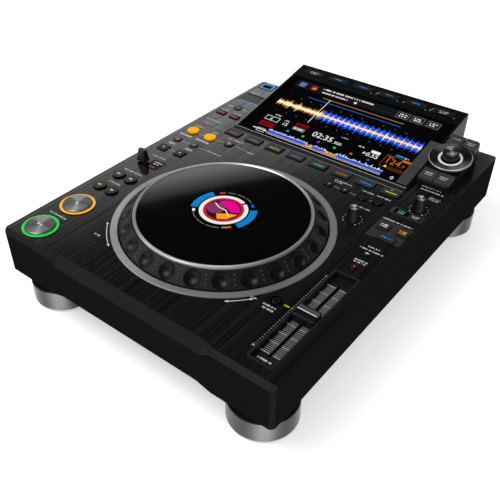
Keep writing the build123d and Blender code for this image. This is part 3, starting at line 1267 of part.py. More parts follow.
with BuildPart() as power_switch:
    with BuildSketch(SWITCH_FACE.offset(-SWITCH_BODY / 2)):
        Rectangle(SWITCH_W, SWITCH_H)
    extrude(amount=SWITCH_BODY)
    with BuildSketch(Plane.YZ.offset(SWITCH_X)):
        with Locations((REAR_WALL - WALL / 2, SOCKET_Z)):
            Circle(TRUNNION_R)
    extrude(amount=SWITCH_W / 2 + SWITCH_GAP + TRUNNION_REACH - KEY_GAP, both=True)
power_switch.part.label = "power_switch"
export_step(power_switch.part, "parts/power_switch.step")

# ------------------------------------------------------------------ circuit boards
key_places = [(x, y) for x, y in PLAY_CUE.values()]
key_places += [(values[0], values[1]) for values in ROUND_KEYS.values()]
key_places += [(values[0], values[1]) for values in RECT_KEYS.values()]
CONTROL_TOP = DECK_Z - CONTROL_BOARD_DROP

with BuildPart() as control_boards:
    with BuildSketch(Plane.XY.offset(CONTROL_TOP)):
        for x, board_w, front_row, rear_row in CONTROL_BOARDS.values():
            with Locations((x, row((front_row + rear_row) / 2))):
                Rectangle(board_w, row(rear_row) - row(front_row))
    extrude(amount=-BOARD_T)
    with BuildSketch(Plane.XY.offset(CONTROL_TOP)):
        with Locations(*key_places):
            Rectangle(SWITCH_BLOCK, SWITCH_BLOCK)
    extrude(amount=KEY_LOW - KEY_TRAVEL - COLLAR_GAP - CONTROL_TOP)
    with BuildSketch(Plane.XY.offset(CONTROL_TOP)):
        for x, board_w, front_row, rear_row in CONTROL_BOARDS.values():
            with Locations((x, row((front_row + rear_row) / 2))):
                board_d = row(rear_row) - row(front_row)
                with GridLocations(board_w - 2 * POST_INSET, board_d - 2 * POST_INSET, 2, 2):
                    Circle(POST_R)
    extrude(amount=PANEL_LOW - CONTROL_TOP)

with BuildPart() as floor_boards:
    for x, y, board_w, board_d, board_low in FLOOR_BOARDS.values():
        with BuildSketch(Plane.XY.offset(board_low)):
            with Locations((x, y)):
                Rectangle(board_w, board_d)
        extrude(amount=BOARD_T)
    # transformer on the supply board, finned cooler on the main board
    supply_x, supply_y, supply_w, supply_d, supply_low = FLOOR_BOARDS["supply"]
    with BuildSketch(Plane.XY.offset(supply_low + BOARD_T)):
        with Locations((supply_x, supply_y)):
            Rectangle(TRANSFORMER_W, TRANSFORMER_D)
    extrude(amount=TRANSFORMER_H)
    main_x, main_y, main_w, main_d, main_low = FLOOR_BOARDS["main"]
    with BuildSketch(Plane.XY.offset(main_low + BOARD_T)):
        with Locations((main_x, main_y)):
            Rectangle(COOLER_W, COOLER_W)
    extrude(amount=FIN_T)
    with BuildSketch(Plane.XY.offset(main_low + BOARD_T + FIN_T)):
        with Locations((main_x, main_y)):
            with GridLocations(2 * FIN_T, 1, COOLER_FINS, 1):
                Rectangle(FIN_T, COOLER_W)
    extrude(amount=FIN_H)

circuit_boards = Compound(
    label="circuit_boards",
    children=[*control_boards.part.solids(), *floor_boards.part.solids()],
)
export_step(circuit_boards, "parts/circuit_boards.step")
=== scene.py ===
import logging
import math
import random
from collections.abc import Callable, Sequence
from dataclasses import dataclass, replace
from enum import Enum
from functools import cache

import bmesh
import bpy
from mathutils import Matrix, Vector


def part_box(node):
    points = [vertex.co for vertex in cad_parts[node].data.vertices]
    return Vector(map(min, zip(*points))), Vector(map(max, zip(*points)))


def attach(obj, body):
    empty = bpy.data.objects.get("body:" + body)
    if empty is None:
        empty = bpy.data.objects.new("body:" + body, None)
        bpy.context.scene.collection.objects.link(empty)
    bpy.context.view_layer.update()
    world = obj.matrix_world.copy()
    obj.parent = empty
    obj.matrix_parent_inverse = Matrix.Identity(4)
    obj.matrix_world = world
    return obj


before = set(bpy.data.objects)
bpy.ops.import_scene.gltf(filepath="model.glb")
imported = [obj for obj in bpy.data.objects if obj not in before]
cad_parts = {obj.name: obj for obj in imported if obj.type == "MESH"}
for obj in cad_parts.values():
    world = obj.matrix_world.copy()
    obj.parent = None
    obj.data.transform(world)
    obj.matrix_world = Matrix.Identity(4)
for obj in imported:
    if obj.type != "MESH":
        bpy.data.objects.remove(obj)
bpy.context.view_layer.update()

log = logging.getLogger("media_player")

Colour = tuple[float, float, float]
Point = tuple[float, float]
Chooser = Callable[[Vector, Vector], bool]

# sizes in millimetres, in the model's frame
MM = 0.001
FRONT = -226.5
REAR_WALL = 205.0
LEFT = -164.5
DECK_Z = 87.7
FLOOR_LOW = 42.6
JOG_Y = -83.9
JOG_TOP = 102.7
FACE_Y = 79.8
FACE_Z = 89.5
TILT = math.radians(10.994)
POD_X = 134.1
POD_AT = 61.0
LEVEL = 0.99  # least upward share of the normal of a level face
SKIN = 0.1  # how near a face has to be to a height to lie at it
CLEAR_COAT_ROUGHNESS = 0.05
GRAIN_DEPTH = 0.0002  # metres
GRAIN_BAND = 0.2  # half the span of grain values that the colour range is spread over
SHEEN_BAND = 0.12  # the same for a coat on the bright lines
LIT_SHADE = 0.85  # how far a lit finish's own colour is darkened
DUST_GREY = (0.3, 0.3, 0.3)
FIGURE_HEIGHT = 0.69  # height of a figure, as a share of the size of its type
LINE_RINGS = 5200.0  # turning lines per metre on keys, knobs and feet
DIAL_RINGS = 2600.0


def deck(x: float, y: float) -> Point:
    """Turns a place measured from the front left corner of the case into one in the model's frame."""
    return x + LEFT, y + FRONT


# ------------------------------------------------------------------ finishes
class Grain(Enum):
    """The texture of a surface."""

    MOULDED = "moulded"
    BRUSHED = "brushed"
    TURNED = "turned"
    SMOOTH = "smooth"


class Graph:
    """A short way of writing a node tree."""

    def __init__(self, tree: bpy.types.NodeTree) -> None:
        """Keeps the tree that the nodes go into."""
        self.tree = tree

    def node(self, kind: str, **settings: object) -> bpy.types.Node:
        """Adds a node.

        Args:
            kind: The node's Blender name.
            **settings: Values of its properties.

        Returns:
            The new node.
        """
        made = self.tree.nodes.new(kind)
        for name, value in settings.items():
            setattr(made, name, value)
        return made

    def wire(self, source: bpy.types.NodeSocket, target: bpy.types.NodeSocket) -> None:
        """Joins two sockets."""
        self.tree.links.new(source, target)

    def sum(self, operation: str, first: object, second: object = 0.0) -> bpy.types.NodeSocket:
        """Adds a math node.

        Args:
            operation: Its operation.
            first: A socket or a number.
            second: A socket or a number.

        Returns:
            The node's result.
        """
        made = self.node("ShaderNodeMath", operation=operation)
        for socket, value in zip(made.inputs, (first, second)):
            if isinstance(value, bpy.types.NodeSocket):
                self.wire(value, socket)
            else:
                socket.default_value = value
        return made.outputs[0]


def new_group(name: str, inputs: dict[str, tuple[str, object]], outputs: Sequence[str]) -> Graph | None:
    """Starts a shader node group with named sockets, unless it is there already.

    Args:
        name: The group's name.
        inputs: For each input, its socket type and its value.
        outputs: Names of the outputs, all of them numbers.

    Returns:
        The empty group as a graph, or None where it was built before.
    """
    if name in bpy.data.node_groups:
        return None
    tree = bpy.data.node_groups.new(name, "ShaderNodeTree")
    for label, (kind, value) in inputs.items():
        socket = tree.interface.new_socket(name=label, in_out="INPUT", socket_type=kind)
        socket.default_value = value
    for label in outputs:
        tree.interface.new_socket(name=label, in_out="OUTPUT", socket_type="NodeSocketFloat")
    return Graph(tree)


def stretched_grain() -> bpy.types.NodeTree:
    """Builds the group of fine and coarse noise that is drawn out along one axis.

    Returns:
        The group, with the inputs Fine and Coarse, both waves per metre, and the output Value.
    """
    vector = "NodeSocketVector"
    inputs = {"Fine": (vector, (1e3, 1e3, 1e3)), "Coarse": (vector, (60, 60, 60))}
    graph = new_group("stretched_grain", inputs, ["Value"])
    if graph:
        ends = graph.node("NodeGroupInput"), graph.node("NodeGroupOutput")
        place = graph.node("ShaderNodeTexCoord").outputs["Object"]
        waves = []
        for label in ("Fine", "Coarse"):
            scaled = graph.node("ShaderNodeVectorMath", operation="MULTIPLY")
            graph.wire(place, scaled.inputs[0])
            graph.wire(ends[0].outputs[label], scaled.inputs[1])
            noise = graph.node("ShaderNodeTexNoise")
            noise.inputs["Scale"].default_value = 1.0
            noise.inputs["Detail"].default_value = 3.0
            graph.wire(scaled.outputs[0], noise.inputs["Vector"])
            waves.append(noise.outputs["Fac"])
        half = graph.sum("MULTIPLY", graph.sum("ADD", waves[0], waves[1]), 0.5)
        graph.wire(half, ends[1].inputs["Value"])
    return bpy.data.node_groups["stretched_grain"]


def turned_grain_and_highlight() -> bpy.types.NodeTree:
    """Builds the group of rings round a centre, as a lathe tool leaves them, with soft bright sectors of
    painted highlight.

    Returns:
        The group, with the inputs Centre, in metres, Rings, per metre, Lobes, the number of painted
        highlight sectors, and
        Phase, in radians, and the outputs Value and Painted highlight.
    """
    # these numbers shape the painted highlight sectors: lobes of a lighter colour round the centre
    ripples, ripple_share, lift, scale, sharpness = 7.0, 0.25, 1.2, 0.42, 2.2
    inputs = {"Centre": ("NodeSocketVector", (0, 0, 0)), "Rings": ("NodeSocketFloat", 4000.0),
              "Lobes": ("NodeSocketFloat", 2.0), "Phase": ("NodeSocketFloat", 0.9)}
    graph = new_group("turned_grain_and_highlight", inputs, ["Value", "Sector"])
    if graph:
        ends = graph.node("NodeGroupInput"), graph.node("NodeGroupOutput")
        away = graph.node("ShaderNodeVectorMath", operation="SUBTRACT")
        graph.wire(graph.node("ShaderNodeTexCoord").outputs["Object"], away.inputs[0])
        graph.wire(ends[0].outputs["Centre"], away.inputs[1])
        reach = graph.node("ShaderNodeVectorMath", operation="LENGTH")
        graph.wire(away.outputs[0], reach.inputs[0])
        noise = graph.node("ShaderNodeTexNoise", noise_dimensions="1D")
        noise.inputs["Scale"].default_value = 1.0
        ring = graph.sum("MULTIPLY", reach.outputs["Value"], ends[0].outputs["Rings"])
        graph.wire(ring, noise.inputs["W"])
        graph.wire(noise.outputs["Fac"], ends[1].inputs["Value"])
        parts = graph.node("ShaderNodeSeparateXYZ")
        graph.wire(away.outputs[0], parts.inputs[0])
        angle = graph.sum("ARCTAN2", parts.outputs["Y"], parts.outputs["X"])
        turned = graph.sum("ADD", angle, ends[0].outputs["Phase"])
        wave = graph.sum("COSINE", graph.sum("MULTIPLY", turned, ends[0].outputs["Lobes"]))
        small = graph.sum("COSINE", graph.sum("MULTIPLY", angle, ripples))
        ripple = graph.sum("MULTIPLY", small, ripple_share)
        lifted = graph.sum("MULTIPLY", graph.sum("ADD", graph.sum("ADD", wave, ripple), lift), scale)
        graph.wire(graph.sum("POWER", lifted, sharpness), ends[1].inputs["Sector"])
    return bpy.data.node_groups["turned_grain_and_highlight"]


def handling_marks() -> bpy.types.NodeTree:
    """Builds the group of faint smudges and sparse dust that handling leaves.

    Returns:
        The group, with the input Size, in waves per metre, and the outputs Smudge and Dust.
    """
    speck_cells, speck_size = 420.0, 0.035
    graph = new_group("handling_marks", {"Size": ("NodeSocketFloat", 30.0)}, ["Smudge", "Dust"])
    if graph:
        ends = graph.node("NodeGroupInput"), graph.node("NodeGroupOutput")
        place = graph.node("ShaderNodeTexCoord").outputs["Object"]
        noise = graph.node("ShaderNodeTexNoise")
        noise.inputs["Detail"].default_value = 4.0
        graph.wire(place, noise.inputs["Vector"])
        graph.wire(ends[0].outputs["Size"], noise.inputs["Scale"])
        graph.wire(noise.outputs["Fac"], ends[1].inputs["Smudge"])
        specks = graph.node("ShaderNodeTexVoronoi")
        specks.inputs["Scale"].default_value = speck_cells
        graph.wire(place, specks.inputs["Vector"])
        graph.wire(graph.sum("LESS_THAN", specks.outputs["Distance"], speck_size), ends[1].inputs["Dust"])
    return bpy.data.node_groups["handling_marks"]


@dataclass(frozen=True)
class Finish:
    """A finish of this object, from which its material is built.

    Attributes:
        name: The material's name.
        colour: The middle of its colour range.
        roughness: The middle of its roughness range.
        metallic: Share of bare metal.
        specular: Level of the plain reflection.
        coat: Weight of the clear coat.
        grain: The kind of texture.
        fine: Waves of the fine grain per metre, along each axis.
        coarse: Waves of the coarse grain per metre, along each axis.
        centre: The turning axis of a turned finish, in millimetres.
        rings: Its rings per metre.
        lobes: Its painted highlight sectors.
        phase: Their turn, in radians.
        streak: Weight of a coat that lies on the bright lines of the grain alone.
        variation: Half the colour range, as a share of the colour.
        swing: Half the roughness range.
        relief: Strength of the bump.
        dust: Weight of the dust specks.
        painted_highlight: How bright the painted highlight sectors are.
        glow: Strength of its own light.
    """

    name: str
    colour: Colour
    roughness: float = 0.45
    metallic: float = 0.0
    specular: float = 0.5
    coat: float = 0.0
    grain: Grain = Grain.MOULDED
    fine: Colour = (1400.0, 1400.0, 1400.0)
    coarse: Colour = (70.0, 70.0, 70.0)
    centre: Colour = (0.0, 0.0, 0.0)
    rings: float = 4000.0
    lobes: float = 2.0
    phase: float = 0.9
    streak: float = 0.0
    variation: float = 0.15
    swing: float = 0.08
    relief: float = 0.04
    dust: float = 0.0
    painted_highlight: float = 0.0
    glow: float = 0.0

    @cache
    def material(self) -> bpy.types.Material:
        """Builds the material, once for each finish.

        Returns:
            The material.
        """
        made = bpy.data.materials.new(self.name)
        made.use_nodes = True
        graph = Graph(made.node_tree)
        shader = made.node_tree.nodes["Principled BSDF"]
        shader.inputs["Metallic"].default_value = self.metallic
        shader.inputs["Specular IOR Level"].default_value = self.specular
        shader.inputs["Coat Weight"].default_value = self.coat
        shader.inputs["Coat Roughness"].default_value = CLEAR_COAT_ROUGHNESS
        value, painted_highlight = self._pattern(graph)
        marks = graph.node("ShaderNodeGroup", node_tree=handling_marks())
        self._paint(graph, shader, value, painted_highlight, marks.outputs["Dust"])
        wear = graph.sum("ADD", value, graph.sum("SUBTRACT", marks.outputs["Smudge"], 0.5))
        level = graph.node("ShaderNodeMapRange")
        level.inputs["To Min"].default_value = max(0.02, self.roughness - self.swing)
        level.inputs["To Max"].default_value = min(1.0, self.roughness + self.swing)
        graph.wire(wear, level.inputs["Value"])
        graph.wire(level.outputs["Result"], shader.inputs["Roughness"])
        if self.streak:
            sheen = graph.node("ShaderNodeMapRange")
            sheen.inputs["From Min"].default_value = 0.5 - SHEEN_BAND
            sheen.inputs["From Max"].default_value = 0.5 + SHEEN_BAND
            sheen.inputs["To Max"].default_value = self.streak
            graph.wire(value, sheen.inputs["Value"])
            graph.wire(sheen.outputs["Result"], shader.inputs["Coat Weight"])
            shader.inputs["Coat Roughness"].default_value = self.roughness
        bump = graph.node("ShaderNodeBump")
        bump.inputs["Strength"].default_value = self.relief
        bump.inputs["Distance"].default_value = GRAIN_DEPTH
        graph.wire(value, bump.inputs["Height"])
        graph.wire(bump.outputs["Normal"], shader.inputs["Normal"])
        return made

    def _pattern(self, graph: Graph) -> tuple[bpy.types.NodeSocket, bpy.types.NodeSocket | None]:
        """Adds the node group of the finish's grain.

        Args:
            graph: The material's nodes.

        Returns:
            The grain's value, and the painted highlight mask of a turned finish.
        """
        if self.grain is Grain.TURNED:
            group = graph.node("ShaderNodeGroup", node_tree=turned_grain_and_highlight())
            group.inputs["Centre"].default_value = [v * MM for v in self.centre]
            group.inputs["Rings"].default_value = self.rings
            group.inputs["Lobes"].default_value = self.lobes
            group.inputs["Phase"].default_value = self.phase
            return group.outputs["Value"], group.outputs["Sector"]
        group = graph.node("ShaderNodeGroup", node_tree=stretched_grain())
        group.inputs["Fine"].default_value = self.fine
        group.inputs["Coarse"].default_value = self.coarse
        return group.outputs["Value"], None

    def _paint(self, graph: Graph, shader: bpy.types.Node, value: bpy.types.NodeSocket,
               painted_highlight: bpy.types.NodeSocket | None, dust: bpy.types.NodeSocket) -> None:
        """Colours the shader from the grain, the painted highlight sectors and the dust.

        Args:
            graph: The material's nodes.
            shader: Its Principled shader.
            value: The grain, about 0.5 on average.
            painted_highlight: The turned finish's mask of painted highlight sectors, or None.
            dust: The mask of dust specks.
        """
        mix = graph.node("ShaderNodeMix", data_type="RGBA")
        low, high = 1.0 - self.variation, 1.0 + self.variation
        mix.inputs["A"].default_value = (*[min(1.0, c * low) for c in self.colour], 1.0)
        mix.inputs["B"].default_value = (*[min(1.0, c * high) for c in self.colour], 1.0)
        spread = graph.node("ShaderNodeMapRange")
        spread.inputs["From Min"].default_value = 0.5 - GRAIN_BAND
        spread.inputs["From Max"].default_value = 0.5 + GRAIN_BAND
        graph.wire(value, spread.inputs["Value"])
        graph.wire(spread.outputs["Result"], mix.inputs["Factor"])
        shown = mix.outputs["Result"]
        # painted highlight: the colour is mixed towards a lighter copy of itself where the sector mask is
        # high
        if painted_highlight is not None and self.painted_highlight:
            streak = graph.node("ShaderNodeMix", data_type="RGBA")
            bright = [min(1.0, c * (1.0 + 4.0 * self.painted_highlight) + 0.2 * self.painted_highlight) for c in self.colour]
            streak.inputs["B"].default_value = (*bright, 1.0)
            graph.wire(shown, streak.inputs["A"])
            graph.wire(painted_highlight, streak.inputs["Factor"])
            shown = streak.outputs["Result"]
        if self.dust:
            dusty = graph.node("ShaderNodeMix", data_type="RGBA")
            dusty.inputs["B"].default_value = (*DUST_GREY, 1.0)
            graph.wire(shown, dusty.inputs["A"])
            graph.wire(graph.sum("MULTIPLY", dust, self.dust), dusty.inputs["Factor"])
            shown = dusty.outputs["Result"]
        if self.glow:
            shader.inputs["Emission Strength"].default_value = self.glow
            graph.wire(shown, shader.inputs["Emission Color"])
            body = graph.node("ShaderNodeMix", data_type="RGBA")
            body.inputs["Factor"].default_value = self.glow * LIT_SHADE
            body.inputs["B"].default_value = (0.0, 0.0, 0.0, 1.0)
            graph.wire(shown, body.inputs["A"])
            shown = body.outputs["Result"]
        graph.wire(shown, shader.inputs["Base Color"])


def lit(name: str, colour: Colour, glow: float = 1.0) -> Finish:
    """A finish that shines: a display's drawing, or a lamp behind plastic."""
    return Finish(name, colour, roughness=0.1, specular=0.12, coat=0.25, variation=0.06, swing=0.03,
                  relief=0.0, glow=glow)


DECK_BRUSHED = Finish("deck_brushed", (0.0068, 0.0069, 0.0072), roughness=0.15, specular=0.2,
                      grain=Grain.BRUSHED, fine=(1200.0, 4.0, 1200.0), coarse=(560.0, 2.5, 560.0),
                      variation=0.97, swing=0.08, relief=0.25, streak=1.0)
CASE_SATIN = Finish("case_satin", (0.0095, 0.0096, 0.0102), roughness=0.42, specular=0.0, variation=0.14,
                    relief=0.05)
BEVEL_SATIN = Finish("bevel_satin", (0.0105, 0.0106, 0.0112), roughness=0.38, specular=0.1, variation=0.12,
                     relief=0.05)
MOULDED_BLACK = Finish("moulded_black", (0.011, 0.011, 0.0115), roughness=0.4, specular=0.3, variation=0.2,
                       relief=0.08)
GLOSS_BLACK = Finish("gloss_black", (0.0012, 0.0012, 0.0014), roughness=0.05, specular=0.5,
                     grain=Grain.SMOOTH, fine=(40.0, 40.0, 40.0), coarse=(12.0, 12.0, 12.0), swing=0.02,
                     relief=0.0, dust=0.03)
SCREEN_GLASS = Finish("screen_glass", (0.0012, 0.0012, 0.0014), roughness=0.05, specular=0.4,
                      grain=Grain.SMOOTH, fine=(30.0, 30.0, 30.0), coarse=(9.0, 9.0, 9.0), swing=0.02,
                      relief=0.0, dust=0.03)
HOUSING_BLACK = Finish("housing_black_satin", (0.0085, 0.0086, 0.0092), roughness=0.34, specular=0.1,
                       variation=0.1, relief=0.03)
RUBBER = Finish("rubber", (0.018, 0.018, 0.018), roughness=0.8, variation=0.3, swing=0.1, relief=0.3)
# painted highlight: three bright sectors round each foot's axis, a lighter copy of the colour
FOOT_METAL = Finish("foot_metal", (0.035, 0.035, 0.036), roughness=0.26, metallic=0.8, grain=Grain.TURNED,
                    rings=LINE_RINGS, lobes=3.0, variation=0.1, swing=0.06, relief=0.05, painted_highlight=0.8)
# painted highlight: one bright side of the surround ring, a lighter copy of the colour
SPUN_SILVER = Finish("spun_silver", (0.27, 0.272, 0.276), roughness=0.4, metallic=0.55, grain=Grain.TURNED,
                     centre=(0.0, JOG_Y, DECK_Z), rings=DIAL_RINGS, lobes=1.0, phase=2.7, variation=0.14,
                     swing=0.08, relief=0.06, painted_highlight=0.2)
# painted highlight: one faintly lighter side of the platter
JOG_SATIN = Finish("jog_satin", (0.0095, 0.0095, 0.01), roughness=0.44, specular=0.22, grain=Grain.TURNED,
                   centre=(0.0, JOG_Y, DECK_Z), rings=DIAL_RINGS, lobes=1.0, phase=2.9, variation=0.1,
                   swing=0.05, relief=0.03, painted_highlight=0.08)
# painted highlight: two bright sectors on the hoop, a lighter copy of the colour
CHROME = Finish("chrome", (0.34, 0.34, 0.355), roughness=0.3, metallic=0.6, grain=Grain.TURNED,
                centre=(0.0, JOG_Y, JOG_TOP), rings=DIAL_RINGS, phase=1.2, variation=0.04, swing=0.04,
                relief=0.0, painted_highlight=0.5)
BOARD = Finish("board_green", (0.02, 0.11, 0.05), roughness=0.45, variation=0.3)
NICKEL = Finish("nickel", (0.55, 0.55, 0.54), roughness=0.28, metallic=1.0, variation=0.08, swing=0.08)
KEY_SATIN = Finish("key_satin", (0.011, 0.011, 0.012), roughness=0.32, specular=0.35, variation=0.15,
                   relief=0.06)
KEY_GREY = Finish("key_grey", (0.042, 0.0423, 0.044), roughness=0.5, specular=0.3, variation=0.2,
                  relief=0.1)
KEY_RED = Finish("key_red", (0.07, 0.009, 0.01), roughness=0.35, specular=0.3, variation=0.12, relief=0.04)
KEY_AMBER = Finish("key_amber", (0.94, 0.46, 0.004), roughness=0.42, specular=0.12, variation=0.04,
                   relief=0.03, glow=0.14)
KNOB_RUBBER = Finish("knob_rubber", (0.006, 0.006, 0.0065), roughness=0.16, specular=0.6, variation=0.2,
                     relief=0.05)
FADER_FLOOR = Finish("fader_floor", (0.008, 0.008, 0.0085), roughness=0.45, specular=0.25, variation=0.2,
                     relief=0.08)
FADER_CAP = Finish("fader_cap", (0.006, 0.006, 0.0064), roughness=0.28, specular=0.22, variation=0.12,
                   relief=0.03)
PLATE_SATIN = Finish("plate_satin", (0.02, 0.0202, 0.021), roughness=0.36, specular=0.35, variation=0.12,
                     relief=0.04)
# painted highlight: a lighter colour on the case's rounded corners and the deck's side rims, standing in
# for light along those edges
EDGE_PAINTED_HIGHLIGHT = Finish("edge_painted_highlight", (0.017, 0.0172, 0.018), roughness=0.34, specular=0.0, variation=0.14,
                    relief=0.03)
DIAL_GLOSS = Finish("dial_gloss", (0.001, 0.001, 0.0012), roughness=0.04, specular=1.0, coat=0.6,
                    grain=Grain.SMOOTH, fine=(40.0, 40.0, 40.0), coarse=(12.0, 12.0, 12.0), swing=0.02,
                    relief=0.0, dust=0.02)
ROCKER_GLOSS = Finish("rocker_gloss", (0.002, 0.002, 0.0022), roughness=0.08, specular=0.3,
                      grain=Grain.SMOOTH, fine=(60.0, 60.0, 60.0), swing=0.03, relief=0.0)
# painted reflection: a lighter grey strip on the glass's right margin that stands in for a reflection on
# the glass
MARGIN_PAINTED_REFLECTION = Finish("margin_painted_reflection", (0.055, 0.055, 0.057), roughness=0.2, specular=0.5, grain=Grain.SMOOTH,
                     fine=(30.0, 30.0, 30.0), coarse=(9.0, 9.0, 9.0), variation=0.5, relief=0.0)
DOOR_GREY = Finish("door_grey", (0.045, 0.0455, 0.047), roughness=0.4, specular=0.4, grain=Grain.BRUSHED,
                   fine=(2200.0, 30.0, 2200.0), coarse=(500.0, 9.0, 500.0), variation=0.25, relief=0.1)
LEVER_BLACK = Finish("lever_black", (0.006, 0.006, 0.0063), roughness=0.3, specular=0.25, variation=0.15,
                     relief=0.03)
WINDOW_BLACK = Finish("window_black", (0.0015, 0.0015, 0.0017), roughness=0.12, specular=0.06,
                      grain=Grain.SMOOTH, fine=(60.0, 60.0, 60.0), relief=0.0)
STRIP_BLACK = Finish("strip_black", (0.004, 0.004, 0.0045), roughness=0.22, specular=0.35, variation=0.1,
                     swing=0.05, relief=0.0)
STRIP_KEY = Finish("strip_key", (0.009, 0.009, 0.0095), roughness=0.3, specular=0.4, variation=0.1,
                   relief=0.02)
SCREW_BLACK = Finish("screw_black", (0.03, 0.03, 0.032), roughness=0.3, metallic=0.9, variation=0.1)

WHITE_INK = Finish("white_ink", (0.6, 0.6, 0.6), roughness=0.5, variation=0.1, relief=0.0)
BRIGHT_INK = Finish("bright_ink", (0.8, 0.8, 0.8), roughness=0.5, variation=0.06, relief=0.0)
GREY_INK = Finish("grey_ink", (0.36, 0.36, 0.365), roughness=0.5, variation=0.1, relief=0.0)
# painted highlight: light lines along the housing's front edge and the screen's lip, standing in for light
# on those chamfered edges
LIP_PAINTED_HIGHLIGHT = Finish("lip_painted_highlight", (0.42, 0.42, 0.43), roughness=0.4, metallic=0.2, variation=0.08,
                     relief=0.02)
# painted shade: a darker copy of the platter's finish for the faces inside the dimples, where shade falls
# in the recesses
DIMPLE_PAINTED_SHADE = replace(JOG_SATIN, name="dimple_painted_shade", colour=(0.0042, 0.0042, 0.0045), roughness=0.36,
                       specular=0.3, painted_highlight=0.04)
# painted highlight: the pips are lighter than the platter and carry highlight sectors, standing in for
# light on their domes
PIP_PAINTED_HIGHLIGHT = replace(JOG_SATIN, name="pip_painted_highlight", colour=(0.03, 0.03, 0.031), roughness=0.3, specular=0.4,
                    painted_highlight=0.1)
RED_INSULATOR = Finish("red_insulator", (0.5, 0.02, 0.02), roughness=0.35, variation=0.08)
WHITE_INSULATOR = Finish("white_insulator", (0.7, 0.7, 0.7), roughness=0.35, variation=0.05)
ORANGE_INSULATOR = Finish("orange_insulator", (0.7, 0.25, 0.02), roughness=0.35, variation=0.05)

LAMP_GREEN = lit("lamp_green", (0.02, 0.62, 0.08), 1.0)
LAMP_ORANGE = lit("lamp_orange", (0.9, 0.42, 0.03), 1.0)
LAMP_RED = lit("lamp_red", (0.62, 0.02, 0.02), 1.0)
LAMP_BLUE = lit("lamp_blue", (0.0, 0.28, 0.75), 1.0)
LAMP_TEAL = lit("lamp_teal", (0.01, 0.27, 0.3), 0.9)
LAMP_LIME = lit("lamp_lime", (0.34, 0.46, 0.02), 0.9)
LAMP_PURPLE = lit("lamp_purple", (0.2, 0.11, 0.36), 0.8)
LAMP_YELLOW = lit("lamp_yellow", (0.62, 0.6, 0.02), 1.0)
LAMP_AMBER = lit("lamp_amber", (0.46, 0.19, 0.02), 0.9)
LAMP_WHITE = lit("lamp_white", (0.75, 0.75, 0.75), 1.0)
SCREEN_BLACK = lit("screen_black", (0.0015, 0.0016, 0.002), 1.0)
SCREEN_PANEL = lit("screen_panel", (0.007, 0.0075, 0.009), 1.0)
SCREEN_WHITE = lit("screen_white", (0.85, 0.85, 0.85), 1.0)
SCREEN_GREY = lit("screen_grey", (0.2, 0.2, 0.21), 1.0)
WAVE_BLUE = lit("wave_blue", (0.012, 0.09, 0.68), 1.0)
WAVE_ORANGE = lit("wave_orange", (0.62, 0.25, 0.05), 1.0)
WAVE_CREAM = lit("wave_cream", (0.95, 0.82, 0.5), 1.0)
SCREEN_RED = lit("screen_red", (0.2, 0.004, 0.008), 1.0)
SCREEN_DIM_ORANGE = lit("screen_dim_orange", (0.36, 0.15, 0.045), 1.0)
SCREEN_DIM_BLUE = lit("screen_dim_blue", (0.02, 0.1, 0.42), 1.0)
SCREEN_ORANGE = lit("screen_orange", (0.5, 0.13, 0.01), 1.0)
SCREEN_BROWN = lit("screen_brown", (0.22, 0.05, 0.008), 1.0)
CUE_BLUE = lit("cue_blue", (0.0, 0.3, 0.65), 1.0)
CUE_GREEN = lit("cue_green", (0.03, 0.6, 0.06), 1.0)
CUE_PURPLE = lit("cue_purple", (0.25, 0.03, 0.6), 1.0)
CUE_YELLOW = lit("cue_yellow", (0.75, 0.75, 0.02), 1.0)
ART_MAGENTA = lit("art_magenta", (0.72, 0.0, 0.26), 1.0)
ART_PURPLE = lit("art_purple", (0.2, 0.03, 0.12), 1.0)
ART_DARK = lit("art_dark", (0.03, 0.003, 0.012), 1.0)
ART_ORANGE = lit("art_orange", (0.85, 0.3, 0.01), 1.0)
ART_RED = lit("art_red", (0.5, 0.012, 0.03), 1.0)
ART_BLUE = lit("art_blue", (0.003, 0.19, 0.49), 1.0)


# ------------------------------------------------------------------ flat marks
@dataclass(frozen=True)
class Sheet:
    """A flat face that marks are printed on."""

    origin: Vector
    across: Vector
    along: Vector

    @property
    def normal(self) -> Vector:
        """Gives the direction out of the face."""
        return self.across.cross(self.along)

    def place(self, u: float, v: float, height: float) -> Vector:
        """Gives the point at u across, v along and height above the face, in metres."""
        return (self.origin + self.across * u + self.along * v + self.normal * height) * MM


DECK = Sheet(Vector((0, 0, DECK_Z)), Vector((1, 0, 0)), Vector((0, 1, 0)))
SCREEN = Sheet(Vector((0, FACE_Y, FACE_Z)), Vector((1, 0, 0)), Vector((0, math.cos(TILT), math.sin(TILT))))
REAR = Sheet(Vector((0, REAR_WALL, 0)), Vector((-1, 0, 0)), Vector((0, 0, 1)))
UNDERSIDE = Sheet(Vector((0, 0, FLOOR_LOW)), Vector((1, 0, 0)), Vector((0, -1, 0)))


